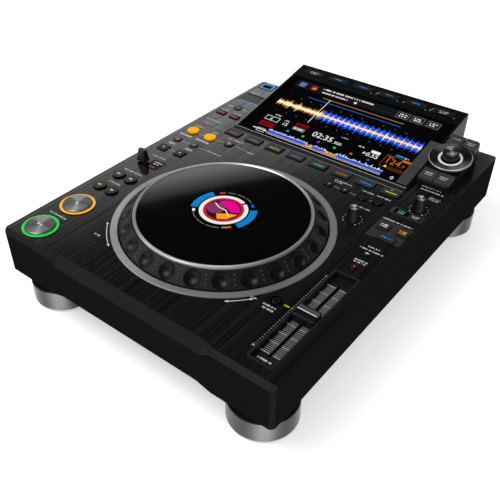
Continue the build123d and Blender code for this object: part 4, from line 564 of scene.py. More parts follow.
class Marks:
    """Flat marks of one finish on one sheet, built as one thin closed mesh."""

    def __init__(self, name: str, sheet: Sheet, finish: Finish, body: str = "console",
                 rise: float = 0.05, base: float = 0.0, sink: float = 0.05) -> None:
        """Starts a set of marks.

        Args:
            name: The piece's name.
            sheet: The face that it lies on.
            finish: Its finish.
            body: The body that it rides on.
            rise: How far it stands above the base, in millimetres.
            base: The printed face's height above the sheet.
            sink: How deep it is sunk into the face.
        """
        self.name, self.sheet, self.finish, self.body = name, sheet, finish, body
        self.high, self.low = base + rise, base - sink
        self.bm = bmesh.new()

    def __enter__(self) -> "Marks":
        """Gives the marks to the with block."""
        return self

    def __exit__(self, *problem: object) -> None:
        """Builds the marks at the end of the with block."""
        self.build()

    def patch(self, outline: Sequence[Point]) -> None:
        """Adds one closed outline, filled.

        Args:
            outline: Its points, counter-clockwise.
        """
        top = [self.bm.verts.new(self.sheet.place(u, v, self.high)) for u, v in outline]
        low = [self.bm.verts.new(self.sheet.place(u, v, self.low)) for u, v in outline]
        self.bm.faces.new(top)
        self.bm.faces.new(low[::-1])
        for i in range(len(top)):
            j = (i + 1) % len(top)
            self.bm.faces.new((top[j], top[i], low[i], low[j]))

    def rect(self, u: float, v: float, w: float, h: float, turn: float = 0.0) -> None:
        """Adds a rectangle.

        Args:
            u: Its middle, across.
            v: Its middle, along.
            w: Its width.
            h: Its height.
            turn: Its turn in degrees.
        """
        c, s = math.cos(math.radians(turn)), math.sin(math.radians(turn))
        corners = ((-w / 2, -h / 2), (w / 2, -h / 2), (w / 2, h / 2), (-w / 2, h / 2))
        self.patch([(u + a * c - b * s, v + a * s + b * c) for a, b in corners])

    def frame(self, u: float, v: float, w: float, h: float, line: float) -> None:
        """Adds the outline of a rectangle, as four bars.

        Args:
            u: Its middle, across.
            v: Its middle, along.
            w: Its outer width.
            h: Its outer height.
            line: Width of the bars.
        """
        for side in (-1, 1):
            self.rect(u, v + side * (h - line) / 2, w, line)
            self.rect(u + side * (w - line) / 2, v, line, h - 2 * line)

    def disc(self, u: float, v: float, radius: float, sides: int = 24) -> None:
        """Adds a filled circle."""
        turns = [math.tau * i / sides for i in range(sides)]
        self.patch([(u + radius * math.cos(a), v + radius * math.sin(a)) for a in turns])

    def arc(self, u: float, v: float, inner: float, outer: float, start: float = 0.0,
            end: float = 360.0) -> None:
        """Adds part of a ring, or all of it in two halves.

        Args:
            u: Middle of the ring, across.
            v: Middle of the ring, along.
            inner: Inner radius.
            outer: Outer radius.
            start: First angle in degrees.
            end: Last angle in degrees, above the first.
        """
        if end - start > 300.0:
            halfway = (start + end) / 2
            self.arc(u, v, inner, outer, start, halfway)
            self.arc(u, v, inner, outer, halfway, end)
            return
        steps = max(3, int((end - start) / 5))
        turns = [math.radians(start + (end - start) * i / steps) for i in range(steps + 1)]
        rim = [(u + outer * math.cos(a), v + outer * math.sin(a)) for a in turns]
        rim += [(u + inner * math.cos(a), v + inner * math.sin(a)) for a in reversed(turns)]
        self.patch(rim)

    def line(self, points: Sequence[Point], width: float) -> None:
        """Adds a line, one bar for each run.

        Args:
            points: The points that it goes through.
            width: Its width.
        """
        for (a, b), (c, d) in zip(points, points[1:]):
            length, turn = math.hypot(c - a, d - b), math.degrees(math.atan2(d - b, c - a))
            self.rect((a + c) / 2, (b + d) / 2, length + width / 2, width, turn)

    def dashes(self, u: float, v: float, width: float, height: float, seed: int = 1) -> None:
        """Adds a row of short strokes of uneven length that stands for fine print.

        Args:
            u: Left end.
            v: Middle of the row.
            width: Length of the row.
            height: Height of the strokes.
            seed: Picks another row of lengths.
        """
        dice = random.Random(seed)
        at = u
        while at < u + width - 0.3 * height:
            stroke = min(height * dice.uniform(0.28, 0.7), u + width - at)
            self.rect(at + stroke / 2, v, stroke, height * dice.choice((1.0, 1.0, 0.75)))
            at += stroke + height * dice.choice((0.26, 0.3, 0.34, 0.85))

    def digits(self, words: str, u: float, v: float, height: float) -> None:
        """Adds plain figures.

        Args:
            words: The figures.
            u: Their left end.
            v: Their foot.
            height: Their height.
        """
        curve = bpy.data.curves.new("figures", "FONT")
        curve.body = words
        curve.size = height / FIGURE_HEIGHT
        curve.resolution_u = 3
        shown = bpy.data.objects.new("figures", curve)
        bpy.context.scene.collection.objects.link(shown)
        bpy.context.view_layer.update()
        flat = bpy.data.meshes.new_from_object(shown.evaluated_get(bpy.context.evaluated_depsgraph_get()))
        bpy.data.objects.remove(shown)
        bpy.data.curves.remove(curve)
        sheet = bmesh.new()
        sheet.from_mesh(flat)
        bpy.data.meshes.remove(flat)
        raised = bmesh.ops.extrude_face_region(sheet, geom=list(sheet.faces))["geom"]
        lifted = {v for v in raised if isinstance(v, bmesh.types.BMVert)}
        copies = {}
        for vert in sheet.verts:
            level = self.high if vert in lifted else self.low
            copies[vert] = self.bm.verts.new(self.sheet.place(u + vert.co.x, v + vert.co.y, level))
        for face in sheet.faces:
            self.bm.faces.new([copies[corner] for corner in face.verts])
        sheet.free()

    def build(self) -> None:
        """Makes the object, with its finish and its body."""
        bmesh.ops.recalc_face_normals(self.bm, faces=list(self.bm.faces))
        place_mesh(self.name, self.bm, self.finish, self.body)


def place_mesh(name: str, bm: bmesh.types.BMesh, finish: Finish, body: str, smooth: bool = False) -> None:
    """Turns a mesh into a piece of the object.

    Args:
        name: The piece's name.
        bm: Its mesh in metres, in the model's frame; it is freed.
        finish: Its finish.
        body: The body that it rides on.
        smooth: Whether its faces are shaded smooth.
    """
    mesh = bpy.data.meshes.new(name)
    bm.to_mesh(mesh)
    bm.free()
    if smooth:
        mesh.shade_smooth()
    mesh.materials.append(finish.material())
    piece = bpy.data.objects.new(name, mesh)
    bpy.context.scene.collection.objects.link(piece)
    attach(piece, body)
    log.info("%s rides on %s", name, body)


def lathe(bm: bmesh.types.BMesh, sheet: Sheet, u: float, v: float, profile: Sequence[Point],
          sides: int) -> None:
    """Adds a turned form, closed at both ends of its profile.

    Args:
        bm: The mesh that it goes into.
        sheet: The face that its axis stands on.
        u: The axis, across.
        v: The axis, along.
        profile: Radius and height pairs, from the bottom up.
        sides: Number of sides.
    """
    rows = []
    turns = [math.tau * i / sides for i in range(sides)]
    for radius, height in profile:
        rim = [sheet.place(u + radius * math.cos(a), v + radius * math.sin(a), height) for a in turns]
        rows.append([bm.verts.new(place) for place in rim])
    for low, high in zip(rows, rows[1:]):
        for i in range(sides):
            j = (i + 1) % sides
            bm.faces.new((low[i], low[j], high[j], high[i]))
    bm.faces.new(rows[0][::-1])
    bm.faces.new(rows[-1])


def middle(node: str) -> tuple[float, float, float]:
    """Gives the middle of a node across and along, and its top, in millimetres."""
    low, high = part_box(node)
    return (low.x + high.x) / 2 / MM, (low.y + high.y) / 2 / MM, high.z / MM


# ------------------------------------------------------------------ dressing the solids
def dress(node: str, finish: Finish, **parts: tuple[Finish, Chooser]) -> None:
    """Gives a solid its finish, and some of its faces another.

    Args:
        node: The solid's node.
        finish: The finish of the faces that nothing else takes.
        **parts: A finish and a test of a face's middle, in millimetres, and normal.
    """
    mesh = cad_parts[node].data
    mesh.materials.clear()
    mesh.materials.append(finish.material())
    for extra, _ in parts.values():
        mesh.materials.append(extra.material())
    tests = [test for _, test in parts.values()]
    for face in mesh.polygons:
        centre = face.center / MM
        chosen = [i + 1 for i, test in enumerate(tests) if test(centre, face.normal)]
        face.material_index = chosen[0] if chosen else 0


@dataclass
class Casing:
    """The lower case, the control panel's plate and the feet, with their screws."""

    neck_z: float = 25.7
    pad_z: float = 2.25
    rail: float = 12.0
    corner: float = 8.0
    screw_r: float = 2.8
    screw_top: float = 1.1
    slot_w: float = 3.0
    slot_t: float = 0.6
    floor_screws: tuple[Point, ...] = (
        (-140, -150), (140, -150), (-140, 140), (140, 140), (0, -180), (0, 180), (-60, 0), (60, 0),
    )
    rear_screws: tuple[Point, ...] = ((-150, 76), (-58, 64), (46, 78), (100, 78), (150, 76))

    def build(self) -> None:
        """Dresses the solids and adds the screws."""
        # the rounded upright corners get a lighter finish, a painted highlight along those edges
        dress("lower_case", CASE_SATIN, edge=(EDGE_PAINTED_HIGHLIGHT, self._on_corner))
        dress("top_panel", CASE_SATIN,
              top=(DECK_BRUSHED, lambda c, n: n.z > LEVEL and abs(c.z - DECK_Z) < SKIN),
              plate=(PLATE_SATIN, lambda c, n: c.z > DECK_Z + SKIN and c.x > 0),
              bezel=(MOULDED_BLACK, lambda c, n: c.z > DECK_Z + SKIN),
              # the rounded corners and side rims get a lighter finish, a painted highlight along those
              # edges
              edge=(EDGE_PAINTED_HIGHLIGHT, lambda c, n: self._on_corner(c, n) or self._on_rim(c, n)),
              bevel=(BEVEL_SATIN, lambda c, n: n.y < -0.3 and 0.3 < n.z < 0.98 and c.y < FRONT + self.rail))
        self._feet()
        screws = bmesh.new()
        floor = Marks("case_screw_slots", UNDERSIDE, RUBBER, base=self.screw_top)
        rear = Marks("rear_screw_slots", REAR, RUBBER, base=self.screw_top)
        places = [(floor, x, -y) for x, y in self.floor_screws]
        places += [(rear, -x, z) for x, z in self.rear_screws]
        for slots, u, v in places:
            self._head(screws, slots.sheet, u, v)
            slots.rect(u, v, self.slot_w, self.slot_t)
            slots.rect(u, v, self.slot_t, self.slot_w)
        place_mesh("case_screws", screws, SCREW_BLACK, "console")
        floor.build()
        rear.build()

    def _on_corner(self, centre: Vector, normal: Vector) -> bool:
        """Tells whether a face is on a rounded upright corner of the case."""
        upright = abs(normal.z) < 0.2 and abs(normal.x) > 0.3 and abs(normal.y) > 0.3
        return upright and abs(centre.x) > -LEFT - self.corner and abs(centre.y) > REAR_WALL - self.corner

    @staticmethod
    def _on_rim(centre: Vector, normal: Vector) -> bool:
        """Tells whether a face is on the rounded edge along a side of the deck."""
        return 0.15 < normal.z < 0.97 and abs(normal.x) > 0.25 and abs(centre.x) > -LEFT - 4.0

    def _feet(self) -> None:
        """Dresses the feet, each cup with turning lines and painted highlight sectors round its own axis.
        """
        cups = {}
        for side in (-1, 1):
            for end in (-1, 1):
                corner = [v.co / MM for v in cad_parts["feet"].data.vertices
                          if v.co.x * side > 0 and v.co.y * end > 0]
                axis = [(min(p[i] for p in corner) + max(p[i] for p in corner)) / 2 for i in (0, 1)]
                # each cup's finish centres its painted highlight sectors on that foot
                finish = replace(FOOT_METAL, name=f"foot_metal_{len(cups) + 1}", centre=(*axis, 0.0))
                cups[f"cup_{len(cups) + 1}"] = (finish, self._on_cup(side, end))
        dress("feet", RUBBER, neck=(MOULDED_BLACK, lambda c, n: c.z > self.neck_z - SKIN), **cups)

    def _on_cup(self, side: int, end: int) -> Chooser:
        """Gives the test of a face on the cup at one corner, above its pad."""
        return lambda c, n: c.z >= self.pad_z and c.x * side > 0 and c.y * end > 0

    def _head(self, bm: bmesh.types.BMesh, sheet: Sheet, u: float, v: float) -> None:
        """Adds one domed screw head."""
        r = self.screw_r
        lathe(bm, sheet, u, v, ((r, -0.1), (r, 0.5), (r * 0.85, 0.9), (r / 2, self.screw_top)), 20)


@dataclass
class ControlPanel:
    """What is printed on the control panel, with its lamps and label window."""

    stroke: float = 1.9
    labels: tuple[tuple[float, float, float], ...] = (
        (14.0, 48.9, 24.0), (19.0, 126.0, 16.0), (14.0, 154.0, 26.0), (16.4, 195.0, 20.0),
        (9.8, 279.0, 12.0), (36.9, 278.4, 9.5), (8.5, 301.6, 22.0), (60.5, 278.4, 22.0),
        (61.0, 239.6, 20.0), (98.8, 265.6, 10.0), (210.0, 278.2, 20.0), (211.0, 275.4, 9.0),
        (243.9, 277.8, 13.0), (260.4, 278.4, 16.0), (256.1, 249.4, 12.0), (288.5, 325.6, 24.0),
        (290.0, 319.6, 26.0), (305.5, 309.0, 12.0), (305.5, 305.6, 11.0), (284.8, 247.8, 33.0),
        (296.1, 197.6, 12.0), (290.4, 192.4, 24.0), (295.6, 173.8, 13.0), (296.2, 170.6, 12.0),
        (265.0, 72.6, 13.0), (267.0, 68.6, 11.0), (6.8, 346.0, 9.0), (28.0, 346.0, 9.0),
        (8.0, 333.0, 11.0), (28.5, 332.6, 12.0), (8.0, 394.0, 16.0), (298.2, 20.4, 13.0),
        (77.4, 51.2, 8.0), (250.0, 73.0, 8.0), (33.0, 412.0, 12.0),
    )
    rules: tuple[tuple[float, float, float, float], ...] = (
        (22.0, 238.9, 35.0, 238.9), (48.6, 238.8, 60.0, 239.2), (26.0, 265.2, 35.5, 265.0),
        (52.4, 265.2, 65.0, 266.8), (79.5, 267.6, 97.5, 266.4), (30.0, 290.6, 47.0, 291.0),
        (215.2, 265.9, 223.2, 265.9), (234.4, 265.8, 243.0, 265.6), (258.4, 265.8, 263.2, 265.8),
        (22.8, 214.9, 34.0, 215.1),
    )
    rule_t: float = 0.35
    boxes: tuple[tuple[float, float, float, float], ...] = (
        (16.6, 252.6, 17.4, 3.0), (42.0, 253.2, 19.0, 3.0), (16.6, 228.0, 8.4, 2.8),
        (42.4, 228.4, 9.6, 2.8),
    )
    arcs: tuple[Point, ...] = ((219.5, 236.0), (311.0, 320.5))
    arc_t: float = 0.8
    window_at: Point = (35.6, 179.6)
    window_size: Point = (17.0, 18.4)
    window_rise: float = 0.12
    reset_at: Point = (272.2, 81.2)
    centre_lamp_at: Point = (283.2, 81.7)
    guide_x: float = 288.4
    guide_foot: float = 31.1
    guide_pitch: float = 3.0
    guide_dots: int = 35
    guide_stops: tuple[float, ...] = (28.2, 82.1, 136.0)
    stop_lamp_at: Point = (30.6, 405.5)
    arc_r: float = 115.2

    def build(self) -> None:
        """Prints the labels, the rules and the arcs, and adds the lamps."""
        with Marks("panel_print", DECK, WHITE_INK) as ink:
            for seed, (x, y, width) in enumerate(self.labels):
                ink.dashes(*deck(x, y), width, self.stroke, seed)
            for x0, y0, x1, y1 in self.rules:
                ink.line((deck(x0, y0), deck(x1, y1)), self.rule_t)
            for x, y, w, h in self.boxes:
                ink.rect(*deck(x, y), w, h)
            for start, end in self.arcs:
                ink.arc(0, JOG_Y, self.arc_r - self.arc_t / 2, self.arc_r + self.arc_t / 2, start, end)
                self._arrow(ink, start, -1)
                self._arrow(ink, end, 1)
        with Marks("panel_print_inset", DECK, MOULDED_BLACK, rise=0.07) as inset:
            for seed, (x, y, w, h) in enumerate(self.boxes, 50):
                left, foot = deck(x, y)
                inset.dashes(left - w / 2 + 1.0, foot, w - 2.0, h * 0.45, seed)
        self._window()
        self._lamps()

    def _arrow(self, marks: Marks, angle: float, way: int) -> None:
        """Adds an arrow head at one end of a turning arc.

        Args:
            marks: The print that it goes into.
            angle: Its base, in degrees round the dial.
            way: 1 where it points counter-clockwise, else -1.
        """
        half, reach = 1.5, 1.9
        base, tip = math.radians(angle), math.radians(angle + way * reach)
        outline = [(self.arc_r - half, base), (self.arc_r + half, base), (self.arc_r, tip)]
        points = [(a * math.cos(b), JOG_Y + a * math.sin(b)) for a, b in outline]
        marks.patch(points if way > 0 else points[::-1])

    def _window(self) -> None:
        """Adds the label window beside the direction lever."""
        x, y = deck(*self.window_at)
        with Marks("lever_label_window", DECK, WINDOW_BLACK, rise=self.window_rise) as window:
            window.rect(x, y, *self.window_size)
        with Marks("lever_label_print", DECK, BRIGHT_INK, base=self.window_rise) as words:
            words.dashes(x - 5.0, y + 5.4, 11.0, 1.7, 61)
            words.dashes(x - 4.0, y + 1.6, 8.0, 1.7, 62)
        with Marks("lever_label_lamp", DECK, LAMP_RED, base=self.window_rise) as lamp:
            lamp.dashes(x - 4.4, y - 5.0, 8.0, 2.2, 63)

    def _lamps(self) -> None:
        """Adds the small lamps and the dotted guide beside the fader."""
        with Marks("reset_ring", DECK, WINDOW_BLACK, rise=0.25) as ring:
            ring.arc(*deck(*self.reset_at), 4.2, 6.2)
        with Marks("fader_lamp_green", DECK, LAMP_LIME, rise=0.15) as green:
            green.rect(*deck(*self.centre_lamp_at), 5.2, 1.3)
        with Marks("fader_guide", DECK, GREY_INK) as guide:
            for index in range(self.guide_dots):
                guide.rect(*deck(self.guide_x, self.guide_foot + index * self.guide_pitch), 0.8, 0.8)
            for y in self.guide_stops:
                guide.disc(*deck(self.guide_x, y), 0.9, 12)
            guide.line((deck(286.9, 27.0), deck(286.9, 30.0)), 0.4)
        with Marks("stop_lamp", DECK, LAMP_RED, rise=0.12) as stop:
            stop.disc(*deck(*self.stop_lamp_at), 1.1, 16)


@dataclass
class KeyBank:
    """The keys, the rockers, the knobs and the direction lever, with their lamps and marks."""

    hot_cues: tuple[Finish, ...] = (
        LAMP_RED, LAMP_TEAL, LAMP_LIME, LAMP_PURPLE, CUE_GREEN, LAMP_AMBER, LAMP_BLUE, LAMP_YELLOW,
    )
    ring_inner: float = 15.75
    ring_outer: float = 18.3
    bezel: float = 0.8
    bezel_r: float = 6.2
    rocker_reach: float = 8.8
    scale_r: float = 9.6
    scale_step: float = 27.0
    window_at: Point = (295.4, 266.0)
    window_size: Point = (15.6, 9.0)
    plate_rise: float = 0.4

    def build(self) -> None:
        """Dresses every key and adds its marks."""
        self._play_keys()
        self._small_keys()
        self._hot_cues()
        self._rockers()
        self._knobs()
        self._sync_keys()

    def _play_keys(self) -> None:
        """Dresses the play and cue keys: a spun cap with painted highlight sectors inside a lit ring."""
        for node, lamp in (("play_button", LAMP_GREEN), ("cue_button", LAMP_ORANGE)):
            x, y, top = middle(node)
            # the spun cap's bright sectors are painted highlights, a lighter copy of the colour in lobes
            # round the axis
            spun_with_highlight = Finish(f"{node}_spun", (0.16, 0.16, 0.165), roughness=0.3, metallic=0.9,
                          grain=Grain.TURNED, centre=(x, y, top), rings=LINE_RINGS, variation=0.2,
                          relief=0.1, painted_highlight=0.5)
            dress(node, spun_with_highlight)
            with Marks(f"{node}_lamp", DECK, lamp, rise=0.35, base=self.bezel) as ring:
                ring.arc(x, y, self.ring_inner, self.ring_outer)
            with self._on_cap(node, "mark", BRIGHT_INK) as icon:
                if node == "play_button":
                    icon.patch([(x - 3.4, y - 1.6), (x - 0.8, y), (x - 3.4, y + 1.6)])
                    icon.rect(x + 0.9, y, 0.8, 3.0)
                    icon.rect(x + 2.5, y, 0.8, 3.0)
                else:
                    icon.rect(x, y - 1.6, 3.6, 0.6)
                    icon.patch([(x - 1.8, y - 0.8), (x + 1.8, y - 0.8), (x, y + 1.6)])

    def _on_cap(self, node: str, kind: str, finish: Finish) -> Marks:
        """Starts a set of marks on a key's cap, which move with it."""
        return Marks(f"{node}_{kind}", DECK, finish, body=node, base=middle(node)[2] - DECK_Z)

    def _cap_mark(self, node: str, finish: Finish, shape: str) -> None:
        """Adds one small mark in the middle of a key's cap.

        Args:
            node: The key's node, which is also its body.
            finish: The mark's finish.
            shape: One of dot, bar, dashes and box.
        """
        x, y, _ = middle(node)
        with self._on_cap(node, "mark", finish) as mark:
            if shape == "dot":
                mark.disc(x, y, 1.2, 16)
            elif shape == "bar":
                mark.rect(x, y, 3.4, 1.1)
            elif shape == "box":
                mark.rect(x, y, 1.6, 1.6)
            else:
                mark.dashes(x - 4.2, y + 1.2, 8.4, 1.5, len(node))
                mark.dashes(x - 3.4, y - 1.4, 6.8, 1.5, len(node) + 7)

    def _ring(self, node: str, inner: float, outer: float) -> None:
        """Adds a gloss black ring round a key's opening.

        Args:
            node: The key's node.
            inner: Inner radius.
            outer: Outer radius.
        """
        x, y, _ = middle(node)
        with Marks(f"{node}_ring", DECK, WINDOW_BLACK, rise=0.3) as ring:
            ring.arc(x, y, inner, outer)

    def _small_keys(self) -> None:
        """Dresses the loop, beat jump, call, memory and source keys."""
        for node in ("loop_in_button", "loop_out_button"):
            dress(node, KEY_AMBER)
        lamps = {"loop_size_four_button": LAMP_AMBER, "loop_size_eight_button": LAMP_AMBER,
                 "reloop_button": LAMP_ORANGE, "call_back_button": LAMP_AMBER,
                 "call_forward_button": LAMP_AMBER}
        for node, lamp in lamps.items():
            dress(node, KNOB_RUBBER)
            self._cap_mark(node, lamp, "bar" if "size" in node else "dot")
            reach = 5.6 if node != "reloop_button" else 6.9
            self._ring(node, reach - 1.1, reach)
        for node, inner in (("delete_button", 5.1), ("memory_button", 4.4), ("usb_stop_button", 4.4)):
            dress(node, KNOB_RUBBER)
            self._ring(node, inner, self.bezel_r)
        for node in ("tempo_reset_button", "tempo_range_button", "master_tempo_button"):
            dress(node, KNOB_RUBBER)
        self._cap_mark("tempo_range_button", LAMP_WHITE, "bar")
        self._cap_mark("master_tempo_button", LAMP_RED, "dot")
        for node in ("beat_jump_back_key", "beat_jump_forward_key"):
            dress(node, KEY_SATIN)
            self._cap_mark(node, LAMP_WHITE, "box")
        for node in ("time_mode_key", "quantize_key"):
            dress(node, KEY_RED)
            x, y, _ = middle(node)
            with self._on_cap(node, "mark", LAMP_RED) as mark:
                mark.rect(x, y - 1.4, 8.0, 1.0)
        dress("slip_key", GLOSS_BLACK)
        self._cap_mark("slip_key", GREY_INK, "dashes")

    def _hot_cues(self) -> None:
        """Dresses the eight keys in front of the screen: a number over a coloured line."""
        for index, (letter, lamp) in enumerate(zip("abcdefgh", self.hot_cues), 1):
            node = f"hot_cue_key_{letter}"
            dress(node, KEY_SATIN)
            x, y, _ = middle(node)
            with self._on_cap(node, "line", lamp) as line:
                line.rect(x + 0.8, y - 1.9, 13.6, 1.1)
                line.digits(str(index), x - 1.6, y + 2.1, 2.2)

    def _rockers(self) -> None:
        """Dresses the two rockers, with amber print and painted white glints, and the direction lever, with
        a painted highlight on its top.
        """
        half, length = 1.7, 2.0
        for node in ("search_rocker", "track_rocker"):
            dress(node, ROCKER_GLOSS)
            x, y, _ = middle(node)
            # the amber triangles are print; the white triangles beside them are painted glints on the gloss
            # caps
            amber, white = self._on_cap(node, "mark", LAMP_ORANGE), self._on_cap(node, "bars", BRIGHT_INK)
            for side in (-1, 1):
                u = x + side * self.rocker_reach
                for marks, step in ((amber, -1.6), (white, 0.8)):
                    root, tip = u + side * step, u + side * (step + length)
                    points = [(root, y - half), (tip, y), (root, y + half)]
                    marks.patch(points if side > 0 else points[::-1])
            amber.build()
            white.build()
        top = middle("direction_lever")[2]
        # painted highlight: the lever's upward-facing top faces get a grey finish that stands in for light
        # on its top
        dress("direction_lever", LEVER_BLACK, tip=(KEY_GREY, lambda c, n: n.z > 0.9 and c.z > top - 0.6))

    def _knobs(self) -> None:
        """Dresses the two knobs: a spun cap and dark flanks, both with painted highlight sectors, a pointer
        and a printed scale.
        """
        for node in ("jog_adjust_knob", "speed_knob"):
            x, y, top = middle(node)
            # the cap's bright sectors are painted highlights, a lighter copy of the colour in lobes round
            # the axis
            spun_with_highlight = Finish(f"{node}_cap", (0.012, 0.012, 0.0125), roughness=0.25, metallic=0.2,
                          grain=Grain.TURNED, centre=(x, y, top), rings=LINE_RINGS, variation=0.2,
                          relief=0.05, painted_highlight=2.0)
            # the flanks carry faint painted highlight sectors too
            flank = replace(spun_with_highlight, name=f"{node}_flank", colour=(0.005, 0.005, 0.0053), relief=0.0,
                            metallic=0.0, specular=0.02, painted_highlight=0.22)
            dress(node, flank, cap=(spun_with_highlight, lambda c, n, top=top: n.z > 0.6 and c.z > top - 1.2))
            with self._on_cap(node, "pointer", BRIGHT_INK) as pointer:
                pointer.rect(x, y + 2.7, 0.9, 4.2)
            with Marks(f"{node}_scale", DECK, WHITE_INK) as scale:
                for tick in range(-5, 6):
                    a = math.radians(90 + tick * self.scale_step)
                    scale.disc(x + self.scale_r * math.cos(a), y + self.scale_r * math.sin(a),
                               0.48 if tick % 5 else 0.75, 12)

    def _sync_keys(self) -> None:
        """Dresses the keys on the right-hand plates, and the mode window."""
        lamps = {"key_sync_key": LAMP_WHITE, "master_key": LAMP_ORANGE, "beat_sync_key": LAMP_BLUE}
        for node, lamp in lamps.items():
            dress(node, KEY_SATIN)
            x, y, _ = middle(node)
            with self._on_cap(node, "mark", lamp) as mark:
                if node == "beat_sync_key":
                    mark.dashes(x - 6.2, y, 12.8, 1.7, 5)
                else:
                    mark.dashes(x - 4.0, y + 1.5, 8.0, 1.7, 3)
                    mark.dashes(x - 3.6, y - 1.5, 7.2, 1.7, 4)
        dress("jog_mode_key", KEY_SATIN)
        self._cap_mark("jog_mode_key", WHITE_INK, "dashes")
        x, y = deck(*self.window_at)
        with Marks("mode_window", DECK, WINDOW_BLACK, rise=0.1, base=self.plate_rise) as window:
            window.rect(x, y, *self.window_size)
        for name, lamp, step in (("mode_lamp_blue", LAMP_BLUE, 1.9), ("mode_lamp_green", LAMP_LIME, -1.5)):
            with Marks(name, DECK, lamp, base=self.plate_rise + 0.1) as words:
                words.dashes(x - 4.0, y + step, 8.0, 2.0, 9)


